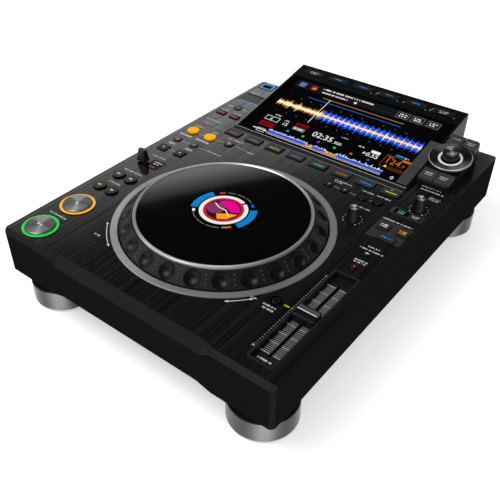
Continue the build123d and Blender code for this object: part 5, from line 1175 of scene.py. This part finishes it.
@dataclass
class JogDial:
    """The dial: surround ring, dimpled platter, top plate and round display."""

    body: str = "jog_dial"
    dimples: int = 24
    bevel_top_r: float = 90.6
    bevel_low_r: float = 103.0
    bevel_top: float = 13.6
    bevel_low: float = 1.6
    hoop_inner_r: float = 85.2
    hoop_outer_r: float = 89.05
    hoop_low: float = 12.85
    pip_rows: tuple[float, ...] = (93.6, 96.8, 100.0)
    pip: tuple[Point, ...] = ((1.25, -0.3), (1.25, 0.15), (0.9, 0.5), (0.4, 0.62))
    lens_top: float = 15.3
    layer_step: float = 0.02
    cover_r: float = 17.2
    red_r: float = 20.3
    white_r: float = 24.3
    arc_inner_r: float = 26.0
    arc_outer_r: float = 33.2
    ticks: tuple[Point, ...] = ((62, 78), (82, 100), (104, 120), (226, 244), (248, 270), (274, 300))
    tick_r: Point = (29.4, 30.1)
    spots: tuple[tuple[str, Finish, float, float], ...] = (
        ("red_mark", LAMP_RED, 125, 136), ("orange_mark", SCREEN_ORANGE, 305, 323),
        ("blue_mark", WAVE_BLUE, 45, 55), ("white_mark", LAMP_WHITE, 213, 222),
    )
    spot_r: Point = (28.0, 30.6)

    def build(self) -> None:
        """Dresses the solids and adds the grip pips and the display's drawing."""
        # the surround ring's bright side is a painted highlight sector
        dress("jog_surround_ring", SPUN_SILVER)
        dress("jog_base", MOULDED_BLACK)
        # the dimples get a darker finish, painted shade in the recesses
        dress("jog_platter", JOG_SATIN, dimple=(DIMPLE_PAINTED_SHADE, self._in_dimple),
              # the hoop's finish carries two painted highlight sectors
              hoop=(CHROME, self._on_hoop))
        dress("jog_top_plate", DIAL_GLOSS)
        dress("jog_display", DIAL_GLOSS)
        self._pips()
        self._drawing()
        self._small_marks()

    def _on_hoop(self, centre: Vector, normal: Vector) -> bool:
        """Tells whether a face is on the bright hoop round the top plate."""
        reach = math.hypot(centre.x, centre.y - JOG_Y)
        return self.hoop_inner_r < reach < self.hoop_outer_r and centre.z > DECK_Z + self.hoop_low

    def _slope(self) -> float:
        """Gives the angle of the finger bevel below the level, in radians."""
        return math.atan2(self.bevel_top - self.bevel_low, self.bevel_low_r - self.bevel_top_r)

    def _in_dimple(self, centre: Vector, normal: Vector) -> bool:
        """Tells whether a face is inside one of the bevel's dimples.

        Args:
            centre: The face's middle, in millimetres.
            normal: Its normal.

        Returns:
            Whether it lies on the bevel and leans away from it.
        """
        out = Vector((centre.x, centre.y - JOG_Y, 0.0))
        reach = out.length
        if not self.bevel_top_r + 0.4 < reach < self.bevel_low_r - 0.2:
            return False
        bevel = out / reach * math.sin(self._slope()) + Vector((0, 0, math.cos(self._slope())))
        return centre.z >= DECK_Z + self.bevel_low and normal.dot(bevel) < 0.992

    def _pips(self) -> None:
        """Adds three raised dots between each pair of dimples."""
        slope = self._slope()
        bm = bmesh.new()
        for index in range(self.dimples):
            turn = math.tau * index / self.dimples
            out = Vector((math.cos(turn), math.sin(turn), 0))
            side = Vector((-math.sin(turn), math.cos(turn), 0))
            up = out * math.sin(slope) + Vector((0, 0, math.cos(slope)))
            for radius in self.pip_rows:
                drop = (radius - self.bevel_top_r) * math.tan(slope)
                spot = Vector((0, JOG_Y, DECK_Z + self.bevel_top - drop)) + out * radius
                lathe(bm, Sheet(spot, side.cross(up).normalized() * -1, side * -1), 0, 0, self.pip, 14)
        bmesh.ops.recalc_face_normals(bm, faces=list(bm.faces))
        # the pips' finish is a painted highlight on their domes
        place_mesh("dial_pips", bm, PIP_PAINTED_HIGHLIGHT, self.body, smooth=True)

    def _layer(self, name: str, finish: Finish, level: int) -> Marks:
        """Starts one layer of the round display's drawing."""
        return Marks(f"dial_display_{name}", DECK, finish, base=self.lens_top + level * self.layer_step)

    def _drawing(self) -> None:
        """Draws the round display: plain shapes on a disc, a red and a white ring and two blue arcs."""
        y = JOG_Y
        with self._layer("white_ring", LAMP_WHITE, 0) as ring:
            ring.arc(0, y, self.red_r, self.white_r, 67, 420)
        with self._layer("red_ring", ART_RED, 0) as ring:
            ring.arc(0, y, self.cover_r, self.red_r)
        with self._layer("ground", ART_DARK, 0) as ground:
            ground.disc(0, y, self.cover_r, 48)
        with self._layer("magenta_shape", ART_MAGENTA, 1) as shape:
            shape.patch([(-13.0, y + 8.6), (9.6, y + 0.5), (15.6, y + 5.6), (9.6, y + 13.4),
                         (1.0, y + 16.6), (-7.0, y + 14.6)])
        with self._layer("purple_shape", ART_PURPLE, 2) as shape:
            shape.disc(-7.8, y - 2.2, 9.0, 40)
        with self._layer("orange_shape", ART_ORANGE, 3) as shape:
            shape.patch([(-1.5, y - 9.5), (4.5, y - 15.8), (12.5, y - 10.6), (16.4, y + 1.2),
                         (7.0, y - 3.0)])
        with self._layer("cream_line", WAVE_CREAM, 4) as line:
            line.line(((-14.0, y + 4.5), (-6.0, y + 0.5), (2.5, y + 0.5), (11.0, y - 6.0)), 1.0)
        with self._layer("blue_arcs", ART_BLUE, 0) as arcs:
            arcs.arc(0, y, self.arc_inner_r, self.arc_outer_r, 148, 207)
            arcs.arc(0, y, self.arc_inner_r, self.arc_outer_r, -26, 35)

    def _small_marks(self) -> None:
        """Draws the small marks round the display's rim."""
        with self._layer("ticks", SCREEN_GREY, 0) as ticks:
            for start, end in self.ticks:
                ticks.arc(0, JOG_Y, *self.tick_r, start, end)
        for name, finish, start, end in self.spots:
            with self._layer(name, finish, 0) as mark:
                mark.arc(0, JOG_Y, *self.spot_r, start, end)


@dataclass
class TouchScreen:
    """The glass with its lit drawing: a title strip, two sound tracks, clocks and cue marks."""

    left: float = -99.0
    right: float = 99.0
    foot: float = 3.3
    head: float = 118.4
    track_left: float = -97.0
    track_right: float = 98.0
    track_mid: float = 66.0
    track_step: float = 0.62
    playhead: float = -40.0
    seed: int = 12
    touch_keys: tuple[float, ...] = (51.5, 70.3, 90.1)
    bar_left: float = -88.0
    bar_pitch: float = 14.4
    bar_rows: Point = (82.5, 49.5)
    bars: int = 13
    overview_left: float = -73.0
    overview_right: float = 80.0
    overview_foot: float = 7.4
    overview_step: float = 0.7
    cue_dots: tuple[tuple[float, Finish], ...] = (
        (-51.8, CUE_BLUE), (-30.1, CUE_GREEN), (-8.4, CUE_PURPLE), (13.1, CUE_GREEN), (34.8, SCREEN_ORANGE),
        (56.7, WAVE_BLUE), (77.8, CUE_YELLOW),
    )
    figures: tuple[tuple[str, float, float, float], ...] = (
        ("02:35", -23.0, 27.2, 8.6), (".950", 6.2, 27.0, 4.4), ("15", -66.0, 27.6, 5.4),
        ("+0.55", 44.0, 26.4, 6.2), ("0", 91.6, 5.2, 5.0), ("6", -84.6, 29.4, 4.8),
    )
    words: tuple[tuple[float, float, float, float, int], ...] = (
        (-66.0, 36.4, 7.0, 1.8, 31), (-83.0, 41.0, 8.0, 1.8, 32), (35.5, 37.4, 8.0, 1.8, 33),
        (10.0, 41.5, 9.0, 0.9, 34), (90.0, 42.6, 5.0, 1.8, 35),
    )

    def build(self) -> None:
        """Dresses the glass and draws what it shows."""
        dress("touch_screen", SCREEN_GLASS)
        # a lighter grey patch on the right margin, a painted reflection on the glass
        with self._layer("margin", MARGIN_PAINTED_REFLECTION, 0) as margin:
            margin.rect(106.4, 44.0, 12.6, 80.0)
        with self._layer("ground", SCREEN_BLACK, 0) as ground:
            ground.rect((self.left + self.right) / 2, (self.foot + self.head) / 2, self.right - self.left,
                        self.head - self.foot)
        self._title()
        self._track()
        self._overview()
        self._readings()

    def _layer(self, name: str, finish: Finish, level: int) -> Marks:
        """Starts one layer of the drawing, each a little above the one below it."""
        first, step = 0.03, 0.025
        return Marks(f"screen_{name}", SCREEN, finish, rise=first + level * step, sink=first)

    def _title(self) -> None:
        """Draws the title strip, its three touch keys and the two phrase lines."""
        with self._layer("title_strip", SCREEN_PANEL, 1) as strip:
            strip.rect(0.0, 110.0, 198.0, 15.0)
        with self._layer("cover_blue", lit("cover_blue", (0.08, 0.17, 0.3)), 2) as cover:
            cover.rect(-89.0, 109.6, 9.0, 9.0)
        with self._layer("cover_red", ART_RED, 2) as cover:
            cover.rect(-72.0, 109.8, 7.0, 7.0)
        with self._layer("cover_corner", ART_ORANGE, 3) as corner:
            corner.patch([(-75.5, 106.3), (-68.5, 106.3), (-68.5, 110.4)])
        with self._layer("title_words", SCREEN_WHITE, 2) as words:
            words.dashes(-60.0, 113.0, 72.0, 2.7, 21)
            words.dashes(-58.0, 106.2, 36.0, 2.4, 22)
            words.disc(-10.4, 105.9, 1.9, 20)
            for u in self.touch_keys:
                words.dashes(u - 4.6, 112.0, 9.2, 2.2, int(u))
                words.dashes(u - 4.6, 108.4, 9.2, 2.2, int(u) + 1)
        with self._layer("title_keys", SCREEN_GREY, 2) as keys:
            for u in self.touch_keys:
                keys.frame(u, 110.2, 15.4, 11.4, 0.5)
        with self._layer("phrase_orange", SCREEN_DIM_ORANGE, 2) as phrase:
            phrase.rect(4.5, 96.2, 111.0, 1.2)
        with self._layer("phrase_blue", SCREEN_DIM_BLUE, 2) as phrase:
            phrase.rect(-4.5, 89.8, 127.0, 1.0)

    def _strip(self, marks: Marks, points: Sequence[tuple[float, float, float]]) -> None:
        """Adds a jagged band through points that each give a place across, a foot and a head."""
        for (u0, low0, high0), (u1, low1, high1) in zip(points, points[1:]):
            marks.patch([(u0, low0), (u1, low1), (u1, high1), (u0, high0)])

    def _bands(self, rows: Sequence[tuple[str, Finish, int, Sequence[tuple[float, float, float]]]]) -> None:
        """Builds jagged bands.

        Args:
            rows: Each band's name, finish, level and points.
        """
        for name, finish, level, points in rows:
            with self._layer(name, finish, level) as band:
                self._strip(band, points)

    def _track(self) -> None:
        """Draws the near sound track, quiet and cream on the left, loud and blue on the right."""
        dice = random.Random(self.seed)
        outer, core, spikes, cream, quiet = [], [], [], [], []
        mid = self.track_mid
        u = self.track_left
        while u < self.track_right:
            if u < self.playhead + 6.0:
                swell = 0.8 + 2.0 * abs(math.sin(u * 0.21)) + 5.2 * dice.random() ** 2
                quiet.append((u, mid - swell * 1.25, mid + swell * 1.25))
                cream.append((u, mid - swell * 0.72, mid + swell * 0.72))
            else:
                beat = ((u + 34.0) % 7.2) / 7.2
                swell = (6.4 + 4.6 * (1.0 - beat)) * dice.uniform(0.7, 1.12) + (2.6 if beat < 0.1 else 0.0)
                outer.append((u, mid - swell, mid + swell * dice.uniform(0.9, 1.1)))
                glow = (1.6 + 4.2 * (1.0 - beat) ** 2) * dice.uniform(0.6, 1.2)
                core.append((u, mid - glow, mid + glow))
                bright = 0.4 + (7.0 if beat < 0.09 else 1.1 * dice.random())
                spikes.append((u, mid - bright, mid + bright))
            u += self.track_step
        self._bands((("track_blue", WAVE_BLUE, 1, outer), ("track_orange", WAVE_ORANGE, 2, core),
                     ("track_white", SCREEN_WHITE, 3, spikes), ("track_amber", WAVE_ORANGE, 1, quiet),
                     ("track_cream", WAVE_CREAM, 2, cream)))
        with self._layer("playhead", SCREEN_WHITE, 4) as head:
            head.rect(self.playhead, 71.5, 0.7, 51.0)
        bars, beats = self._layer("bar_marks", SCREEN_RED, 4), self._layer("beat_marks", SCREEN_GREY, 4)
        for index in range(self.bars):
            for v in self.bar_rows:
                (beats if index % 4 else bars).rect(self.bar_left + index * self.bar_pitch, v, 0.6, 1.6)
        bars.build()
        beats.build()

    def _overview(self) -> None:
        """Draws the whole sound track along the foot of the screen, with the cue dots over it."""
        dice = random.Random(self.seed + 1)
        blue, tips, warm = [], [], []
        foot = self.overview_foot
        u = self.overview_left
        while u < self.overview_right:
            dip = min(1.0, abs(u + 15.0) / 7.0, abs(u - 14.0) / 12.0)
            swell = 0.6 + 4.6 * (0.2 + 0.8 * dip) * dice.uniform(0.75, 1.1)
            blue.append((u, foot, foot + swell))
            peak = foot + swell + (dice.uniform(1.0, 4.0) if dice.random() < 0.22 else 0.5)
            tips.append((u, foot + swell, peak))
            warm.append((u, 6.6, foot + 5.2 * (1.08 - dip) * dice.uniform(0.4, 1.0)))
            u += self.overview_step
        self._bands((("overview_blue", WAVE_BLUE, 1, blue), ("overview_tips", SCREEN_WHITE, 2, tips),
                     ("overview_warm", WAVE_ORANGE, 3, warm)))
        with self._layer("overview_base", SCREEN_WHITE, 2) as base:
            base.rect(-84.0, 8.4, 20.0, 1.2)
            base.rect(3.5, 5.6, 153.0, 0.4)
        for index, (u, finish) in enumerate(self.cue_dots, 1):
            with self._layer(f"cue_dot_{index}", finish, 2) as dot:
                dot.disc(u, 21.0, 1.7, 16)

    def _readings(self) -> None:
        """Draws the clocks, the tempo box and the small labels."""
        with self._layer("readings_white", SCREEN_WHITE, 2) as white:
            for text, u, v, height in self.figures:
                white.digits(text, u, v, height)
            for u, v, width, height, seed in self.words:
                white.dashes(u, v, width, height, seed)
            white.frame(-82.0, 32.2, 19.0, 8.4, 0.6)
            white.frame(-82.0, 7.6, 11.0, 6.6, 0.5)
            white.rect(58.0, 36.0, 11.0, 4.4)
        with self._layer("readings_red", SCREEN_RED, 1) as red:
            red.rect(-82.0, 20.0, 20.0, 8.4)
            red.rect(-42.0, 37.6, 17.0, 5.2)
        with self._layer("readings_cut", SCREEN_BLACK, 3) as cut:
            cut.dashes(-48.0, 37.6, 12.0, 2.6, 36)
            cut.dashes(-88.0, 20.0, 12.0, 3.2, 37)
        with self._layer("readings_grey", SCREEN_GREY, 1) as grey:
            grey.rect(-42.0, 29.6, 16.0, 5.6)
        with self._layer("readings_grey_words", SCREEN_WHITE, 2) as shade:
            shade.dashes(-48.0, 29.6, 12.0, 2.6, 38)
        with self._layer("tempo_frame", SCREEN_BROWN, 2) as edge:
            edge.frame(86.2, 29.6, 31.0, 20.5, 0.6)
            edge.frame(90.0, 20.4, 15.0, 4.4, 0.45)
        with self._layer("tempo_box", SCREEN_ORANGE, 2) as tempo:
            tempo.digits("124", 72.6, 26.6, 8.8)
            tempo.digits(".7", 92.0, 26.2, 4.8)
            tempo.rect(95.0, 37.6, 10.5, 3.4)
            tempo.dashes(73.0, 37.4, 7.0, 1.8, 39)
        with self._layer("readings_blue", LAMP_BLUE, 2) as blue:
            blue.rect(84.0, 43.0, 9.0, 2.4)


@dataclass
class ScreenHousing:
    """The screen's housing, its painted highlight lines and the key strip behind the glass."""

    pitch: float = 35.9
    key_at: float = 137.2
    key_proud: float = 0.9
    keys: int = 6
    slashes: tuple[float, ...] = (3.4, 40.2, 74.8)
    dots: tuple[Point, ...] = ((31.9, 132.4), (68.3, 132.6), (104.2, 132.8), (-4.0, 132.4))
    # width of the painted highlight lines along the housing's front edge and the screen's lip
    highlight_line: float = 0.7

    def build(self) -> None:
        """Dresses the solids and adds the painted edge highlights and the key marks."""
        dress("display_housing", HOUSING_BLACK,
              top=(STRIP_BLACK, lambda c, n: n.z > 0.95 and n.y < -0.15 and abs(c.x) < 115))
        dress("display_keys", STRIP_KEY)
        # painted highlights on the chamfered edges of the housing and the glass
        with Marks("front_lip_highlight", DECK, LIP_PAINTED_HIGHLIGHT, rise=0.25) as highlight_line:
            highlight_line.rect(*deck(164.5, 300.9), 228.0, self.highlight_line)
        with Marks("screen_lip_highlight", SCREEN, LIP_PAINTED_HIGHLIGHT, rise=0.2) as lip:
            lip.rect(0.0, 0.75, 229.0, self.highlight_line)
            lip.rect(-114.2, 62.0, self.highlight_line, 121.0)
        with Marks("strip_slashes", SCREEN, WHITE_INK) as ink:
            for x in self.slashes:
                ink.line(((x - 1.6, self.key_at - 4.0), (x + 1.6, self.key_at + 4.0)), 0.5)
            for x, along in self.dots:
                ink.disc(x, along, 0.6, 12)
        for index in range(self.keys):
            x = (index - (self.keys - 1) / 2) * self.pitch
            outer = index in (0, self.keys - 1)
            with Marks(f"display_key_mark_{index + 1}", SCREEN, WHITE_INK if outer else LAMP_BLUE,
                       body="display_keys", base=self.key_proud) as mark:
                mark.dashes(x - 5.5, self.key_at + 0.4, 11.0, 2.0, index + 70)
                if outer:
                    mark.dashes(x - 5.0, self.key_at - 2.6, 9.0, 1.6, index + 80)


@dataclass
class SelectorPod:
    """The selector: dished ring, knob and four corner keys."""

    seat: float = 6.0
    flat_r: float = 13.4
    rim_r: float = 21.6
    rings: float = 2400.0
    keys: tuple[str, ...] = ("back_key", "tag_track_key", "track_filter_key", "shortcut_key")

    def build(self) -> None:
        """Dresses the solids and adds the key marks."""
        self._ring()
        self._knob()
        for index, node in enumerate(self.keys):
            dress(node, KEY_GREY)
            x, along, high = self._face_place(node)
            with Marks(f"{node}_mark", SCREEN, WHITE_INK, body=node, base=high) as mark:
                mark.dashes(x - 4.4, along + 1.4, 8.8, 1.5, 90 + index)
                if index != 0:
                    mark.dashes(x - 4.0, along - 1.6, 8.0, 1.5, 95 + index)

    def _ring(self) -> None:
        """Dresses the ring: a black dish and a grey rim, both with painted highlight sectors, and a
        near-white flat round the knob, a painted reflection.
        """
        normal = SCREEN.normal
        centre = SCREEN.place(POD_X, POD_AT, self.seat) / MM
        # the bright sectors of the dish and the rim are painted highlights
        dish = Finish("selector_dish", (0.006, 0.006, 0.0064), roughness=0.22, specular=0.4,
                      grain=Grain.TURNED, centre=tuple(centre), rings=self.rings, variation=0.12,
                      swing=0.04, relief=0.02, painted_highlight=0.5)
        # painted reflection: the flat round the knob is near white, standing in for the bright reflection
        # of this metal flat
        bright = Finish("selector_flat_painted_reflection", (0.86, 0.86, 0.87), roughness=0.4, grain=Grain.TURNED,
                        centre=tuple(centre), rings=self.rings, variation=0.04, relief=0.02)
        rim = Finish("selector_rim", (0.32, 0.32, 0.325), roughness=0.3, metallic=0.4, grain=Grain.TURNED,
                     centre=tuple(centre), rings=self.rings, variation=0.1, relief=0.02, painted_highlight=0.6)
        dress("selector_ring", dish,
              flat=(bright, lambda c, n: (c - centre).length < self.flat_r and n.dot(normal) > 0.8),
              rim=(rim, lambda c, n: (c - centre).length > self.rim_r and 0.2 < n.dot(normal) < 0.93))

    def _knob(self) -> None:
        """Dresses the knob: rubber flanks and a spun cap with painted highlight sectors."""
        normal = SCREEN.normal
        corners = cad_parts["selector_knob"].data.vertices
        top = max((v.co / MM - SCREEN.origin).dot(normal) for v in corners)
        # the cap's bright sectors are painted highlights
        cap = Finish("selector_cap", (0.02, 0.02, 0.021), roughness=0.18, metallic=0.3, grain=Grain.TURNED,
                     centre=tuple(SCREEN.place(POD_X, POD_AT, top) / MM), rings=DIAL_RINGS, variation=0.12,
                     relief=0.02, painted_highlight=1.6)
        dress("selector_knob", KNOB_RUBBER,
              cap=(cap, lambda c, n: n.dot(normal) > 0.6 and (c - SCREEN.origin).dot(normal) > top - 2.0))

    def _face_place(self, node: str) -> tuple[float, float, float]:
        """Finds the face of a key's cap.

        Args:
            node: The key's node.

        Returns:
            The cap's middle across and along the screen's plane, and its height above it.
        """
        rows = [v.co / MM - SCREEN.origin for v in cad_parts[node].data.vertices]
        high = max(p.dot(SCREEN.normal) for p in rows)
        caps = [p for p in rows if p.dot(SCREEN.normal) > high - 0.6]
        across = [p.dot(SCREEN.across) for p in caps]
        along = [p.dot(SCREEN.along) for p in caps]
        return (min(across) + max(across)) / 2, (min(along) + max(along)) / 2, high


@dataclass
class TempoFader:
    """The tempo fader: a sunk well with ruled scales, and a ridged cap."""

    x: float = 138.6
    y: float = -144.4
    floor: float = -5.0
    travel: float = 100.0
    steps: int = 48
    steps_to_long: int = 6
    gap: float = 1.9

    def build(self) -> None:
        """Dresses the well and the cap, and rules the scales."""
        dress("fader_unit", FADER_FLOOR, rim=(MOULDED_BLACK, lambda c, n: c.z > DECK_Z - 0.2))
        dress("tempo_slider", FADER_CAP)
        scale = Marks("fader_scale", DECK, GREY_INK, base=self.floor)
        bright = Marks("fader_scale_bright", DECK, WHITE_INK, base=self.floor)
        for index in range(self.steps + 1):
            v = self.y - self.travel / 2 + index * self.travel / self.steps
            long = index % self.steps_to_long == 0
            layer, width, thick = (bright, 8.6, 0.7) if long else (scale, 7.2, 0.5)
            for side in (-1, 1):
                layer.rect(self.x + side * (self.gap + width / 2), v, width, thick)
        scale.build()
        bright.build()
        with Marks("fader_slot_edge", DECK, RUBBER, base=self.floor, rise=0.04) as slot:
            for side in (-1, 1):
                slot.rect(self.x + side * 1.6, self.y, 0.8, 104.0)
        with Marks("fader_cap_line", DECK, BRIGHT_INK, body="tempo_slider",
                   base=middle("tempo_slider")[2] - DECK_Z, sink=0.3) as line:
            line.rect(self.x, self.y, 19.2, 0.7)


@dataclass
class Sockets:
    """The card door and the sockets on the panel and on the rear wall."""

    phono: tuple[tuple[float, Finish], ...] = (
        (-34.0, ORANGE_INSULATOR), (-78.0, RED_INSULATOR), (-96.0, WHITE_INSULATOR),
    )
    phono_z: float = 63.2
    print_z: float = 77.4
    print_marks: tuple[Point, ...] = (
        (-34.0, 12.0), (-87.0, 26.0), (4.0, 8.0), (30.0, 14.0), (82.0, 12.0), (118.0, 24.0),
    )
    top_socket_at: Point = (15.6, 420.0)
    door_at: Point = (22.0, 380.0)

    def build(self) -> None:
        """Dresses the solids and adds insulators, lamps and marks."""
        dress("panel_sockets", MOULDED_BLACK,
              metal=(NICKEL, lambda c, n: c.y > REAR_WALL - 4 and (c.x < -20 or -4 < c.x < 40)),
              frame=(KEY_GREY, lambda c, n: c.z > DECK_Z + 0.1))
        dress("power_switch", KEY_SATIN)
        dress("circuit_boards", BOARD)
        dress("sd_door", DOOR_GREY)
        self._phono()
        self._panel_lamps()
        self._rear_marks()

    def _phono(self) -> None:
        """Adds the coloured insulator and the middle contact in each phono barrel."""
        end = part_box("panel_sockets")[1].y / MM - REAR_WALL
        for index, (x, finish) in enumerate(self.phono, 1):
            bm = bmesh.new()
            lathe(bm, REAR, -x, self.phono_z, ((3.2, end - 0.3), (3.2, end + 0.1), (3.0, end + 0.15)), 28)
            lathe(bm, REAR, -x, self.phono_z, ((1.2, end + 0.1), (1.2, end + 0.2), (0.9, end + 0.25)), 16)
            place_mesh(f"phono_insulator_{index}", bm, finish, "console")

    def _panel_lamps(self) -> None:
        """Adds the blue light round the top socket and at the card door's front edge."""
        x, y = deck(*self.top_socket_at)
        with Marks("top_socket_lamp", DECK, LAMP_BLUE, base=0.4) as glow:
            glow.frame(x, y, 17.4, 14.4, 1.7)
        with Marks("top_socket_plate", DECK, DOOR_GREY, base=0.2) as plate:
            plate.rect(x, y + 3.9, 13.4, 3.2)
        x, y = deck(*self.door_at)
        # painted shade: a black frame over the gap round the card door, where shade falls
        with Marks("card_door_gap_shade", DECK, WINDOW_BLACK, rise=0.1) as gap:
            gap.frame(x, y - 0.4, 37.0, 21.4, 1.1)
        with Marks("card_door_lamp", DECK, LAMP_BLUE, rise=0.12) as edge:
            edge.rect(x + 1.0, y - 12.0, 26.0, 1.2)

    def _rear_marks(self) -> None:
        """Adds a plain mark over each socket in the rear wall."""
        with Marks("rear_print", REAR, WHITE_INK) as marks:
            for x, width in self.print_marks:
                marks.dashes(-x - width / 2, self.print_z, width, 1.6, int(abs(x)))


# ------------------------------------------------------------------ studio
@dataclass
class Studio:
    """The floor, the light and the camera."""

    camera_at: tuple[float, float, float] = (0.3476, -0.5035, 0.4834)
    camera_turn: tuple[float, float, float] = (38.84, 51.38, -0.39)
    lens: float = 48.83
    shift: Point = (0.0368, 0.0069)
    floor_r: float = 6.0
    floor_glow: float = 0.45
    sky: float = 0.55
    sky_lean: tuple[float, float, float] = (0.35, -0.137, 1.0)
    backdrop: tuple[Point, ...] = (
        (0.0, 0.14), (0.07, 0.3), (0.11, 0.9), (0.165, 1.0), (0.21, 0.6), (0.24, 0.48), (0.255, 0.19),
        (0.266, 0.09), (0.268, 0.006), (0.6, 0.003),
    )
    backdrop_level: float = 1.7

    def build(self) -> None:
        """Sets up the floor, the world, the lamps and the camera."""
        bpy.context.scene.view_settings.view_transform = "Standard"
        self._floor()
        self._world()
        self._lamp("key_softbox", (-0.6, -0.9, 1.7), (0.0, 0.0, 0.05), (1.2, 1.2), 18.0)
        side = self._lamp("side_softbox", (1.8, -0.4, 0.8), (0.1, 0.0, 0.05), (0.6, 1.4), 8.0)
        side.visible_glossy = False  # keeps its mirror image out of the dial's top plate
        self._camera()

    def _camera(self) -> None:
        """Adds the camera."""
        data = bpy.data.cameras.new("camera")
        data.lens = self.lens
        data.sensor_width = 36.0
        data.shift_x, data.shift_y = self.shift
        data.clip_start = 0.02
        camera = bpy.data.objects.new("camera", data)
        heading, pitch, roll = (math.radians(a) for a in self.camera_turn)
        turn = Matrix.Rotation(heading, 4, "Z") @ Matrix.Rotation(pitch, 4, "X")
        turn = turn @ Matrix.Rotation(roll, 4, "Z")
        camera.matrix_world = Matrix.Translation(self.camera_at) @ turn
        bpy.context.scene.collection.objects.link(camera)
        bpy.context.scene.camera = camera

    def _lamp(self, name: str, at: Sequence[float], aim: Sequence[float], size: Point,
              power: float) -> bpy.types.Object:
        """Adds one rectangular softbox.

        Args:
            name: Its name.
            at: Its place in metres.
            aim: The point that it faces.
            size: Its width and height in metres.
            power: Its power in watts.

        Returns:
            The lamp.
        """
        data = bpy.data.lights.new(name, "AREA")
        data.shape = "RECTANGLE"
        data.size, data.size_y = size
        data.energy = power
        lamp = bpy.data.objects.new(name, data)
        lamp.location = at
        lamp.rotation_euler = (Vector(aim) - Vector(at)).to_track_quat("-Z", "Y").to_euler()
        bpy.context.scene.collection.objects.link(lamp)
        return lamp

    def _floor(self) -> None:
        """Adds the pale floor: white to the camera, with the object's soft shadow."""
        bm = bmesh.new()
        bmesh.ops.create_circle(bm, cap_ends=True, segments=96, radius=self.floor_r)
        mesh = bpy.data.meshes.new("studio_floor")
        bm.to_mesh(mesh)
        bm.free()
        floor = bpy.data.objects.new("studio_floor", mesh)
        bpy.context.scene.collection.objects.link(floor)
        made = bpy.data.materials.new("studio_floor")
        made.use_nodes = True
        graph = Graph(made.node_tree)
        shader = made.node_tree.nodes["Principled BSDF"]
        shader.inputs["Base Color"].default_value = (0.86, 0.86, 0.86, 1.0)
        shader.inputs["Roughness"].default_value = 0.9
        shader.inputs["Specular IOR Level"].default_value = 0.1
        shader.inputs["Emission Color"].default_value = (1.0, 1.0, 1.0, 1.0)
        path = graph.node("ShaderNodeLightPath")
        seen = graph.sum("MAXIMUM", path.outputs["Is Camera Ray"], path.outputs["Is Glossy Ray"])
        seen = graph.sum("MAXIMUM", seen, path.outputs["Is Transmission Ray"])
        graph.wire(graph.sum("MULTIPLY", seen, self.floor_glow), shader.inputs["Emission Strength"])
        mesh.materials.append(made)

    def _world(self) -> None:
        """Sets the surroundings: white to the camera, darker overhead in reflections and as light."""
        world = bpy.data.worlds.new("studio")
        bpy.context.scene.world = world
        world.use_nodes = True
        graph = Graph(world.node_tree)
        background = world.node_tree.nodes["Background"]
        path = graph.node("ShaderNodeLightPath")
        height = graph.node("ShaderNodeVectorMath", operation="DOT_PRODUCT")
        height.inputs[1].default_value = self.sky_lean
        graph.wire(graph.node("ShaderNodeTexCoord").outputs["Generated"], height.inputs[0])
        ramp = graph.node("ShaderNodeValToRGB")
        stops = ramp.color_ramp.elements
        while len(stops) < len(self.backdrop):
            stops.new(0.5)
        for stop, (place, level) in zip(stops, self.backdrop):
            stop.position = place
            stop.color = (level, level, level, 1.0)
        graph.wire(height.outputs["Value"], ramp.inputs["Fac"])
        fall = graph.sum("MULTIPLY", ramp.outputs["Color"], self.backdrop_level)
        glossy = graph.sum("MULTIPLY", path.outputs["Is Glossy Ray"], fall)
        clear = graph.sum("MAXIMUM", path.outputs["Is Camera Ray"], path.outputs["Is Transmission Ray"])
        seen = graph.sum("MAXIMUM", glossy, clear)
        rest = graph.sum("MULTIPLY", path.outputs["Is Diffuse Ray"], self.sky)
        graph.wire(graph.sum("MAXIMUM", seen, rest), background.inputs["Strength"])
        background.inputs["Color"].default_value = (1.0, 1.0, 1.0, 1.0)


def main() -> None:
    """Builds the player's looks, one sub-assembly after another."""
    logging.basicConfig(level=logging.INFO, format="%(name)s: %(message)s")
    parts = (Casing(), ControlPanel(), KeyBank(), JogDial(), TouchScreen(), ScreenHousing(), SelectorPod(),
             TempoFader(), Sockets(), Studio())
    for part in parts:
        part.build()
        log.info("%s done", type(part).__name__)


if __name__ == "__main__":
    main()
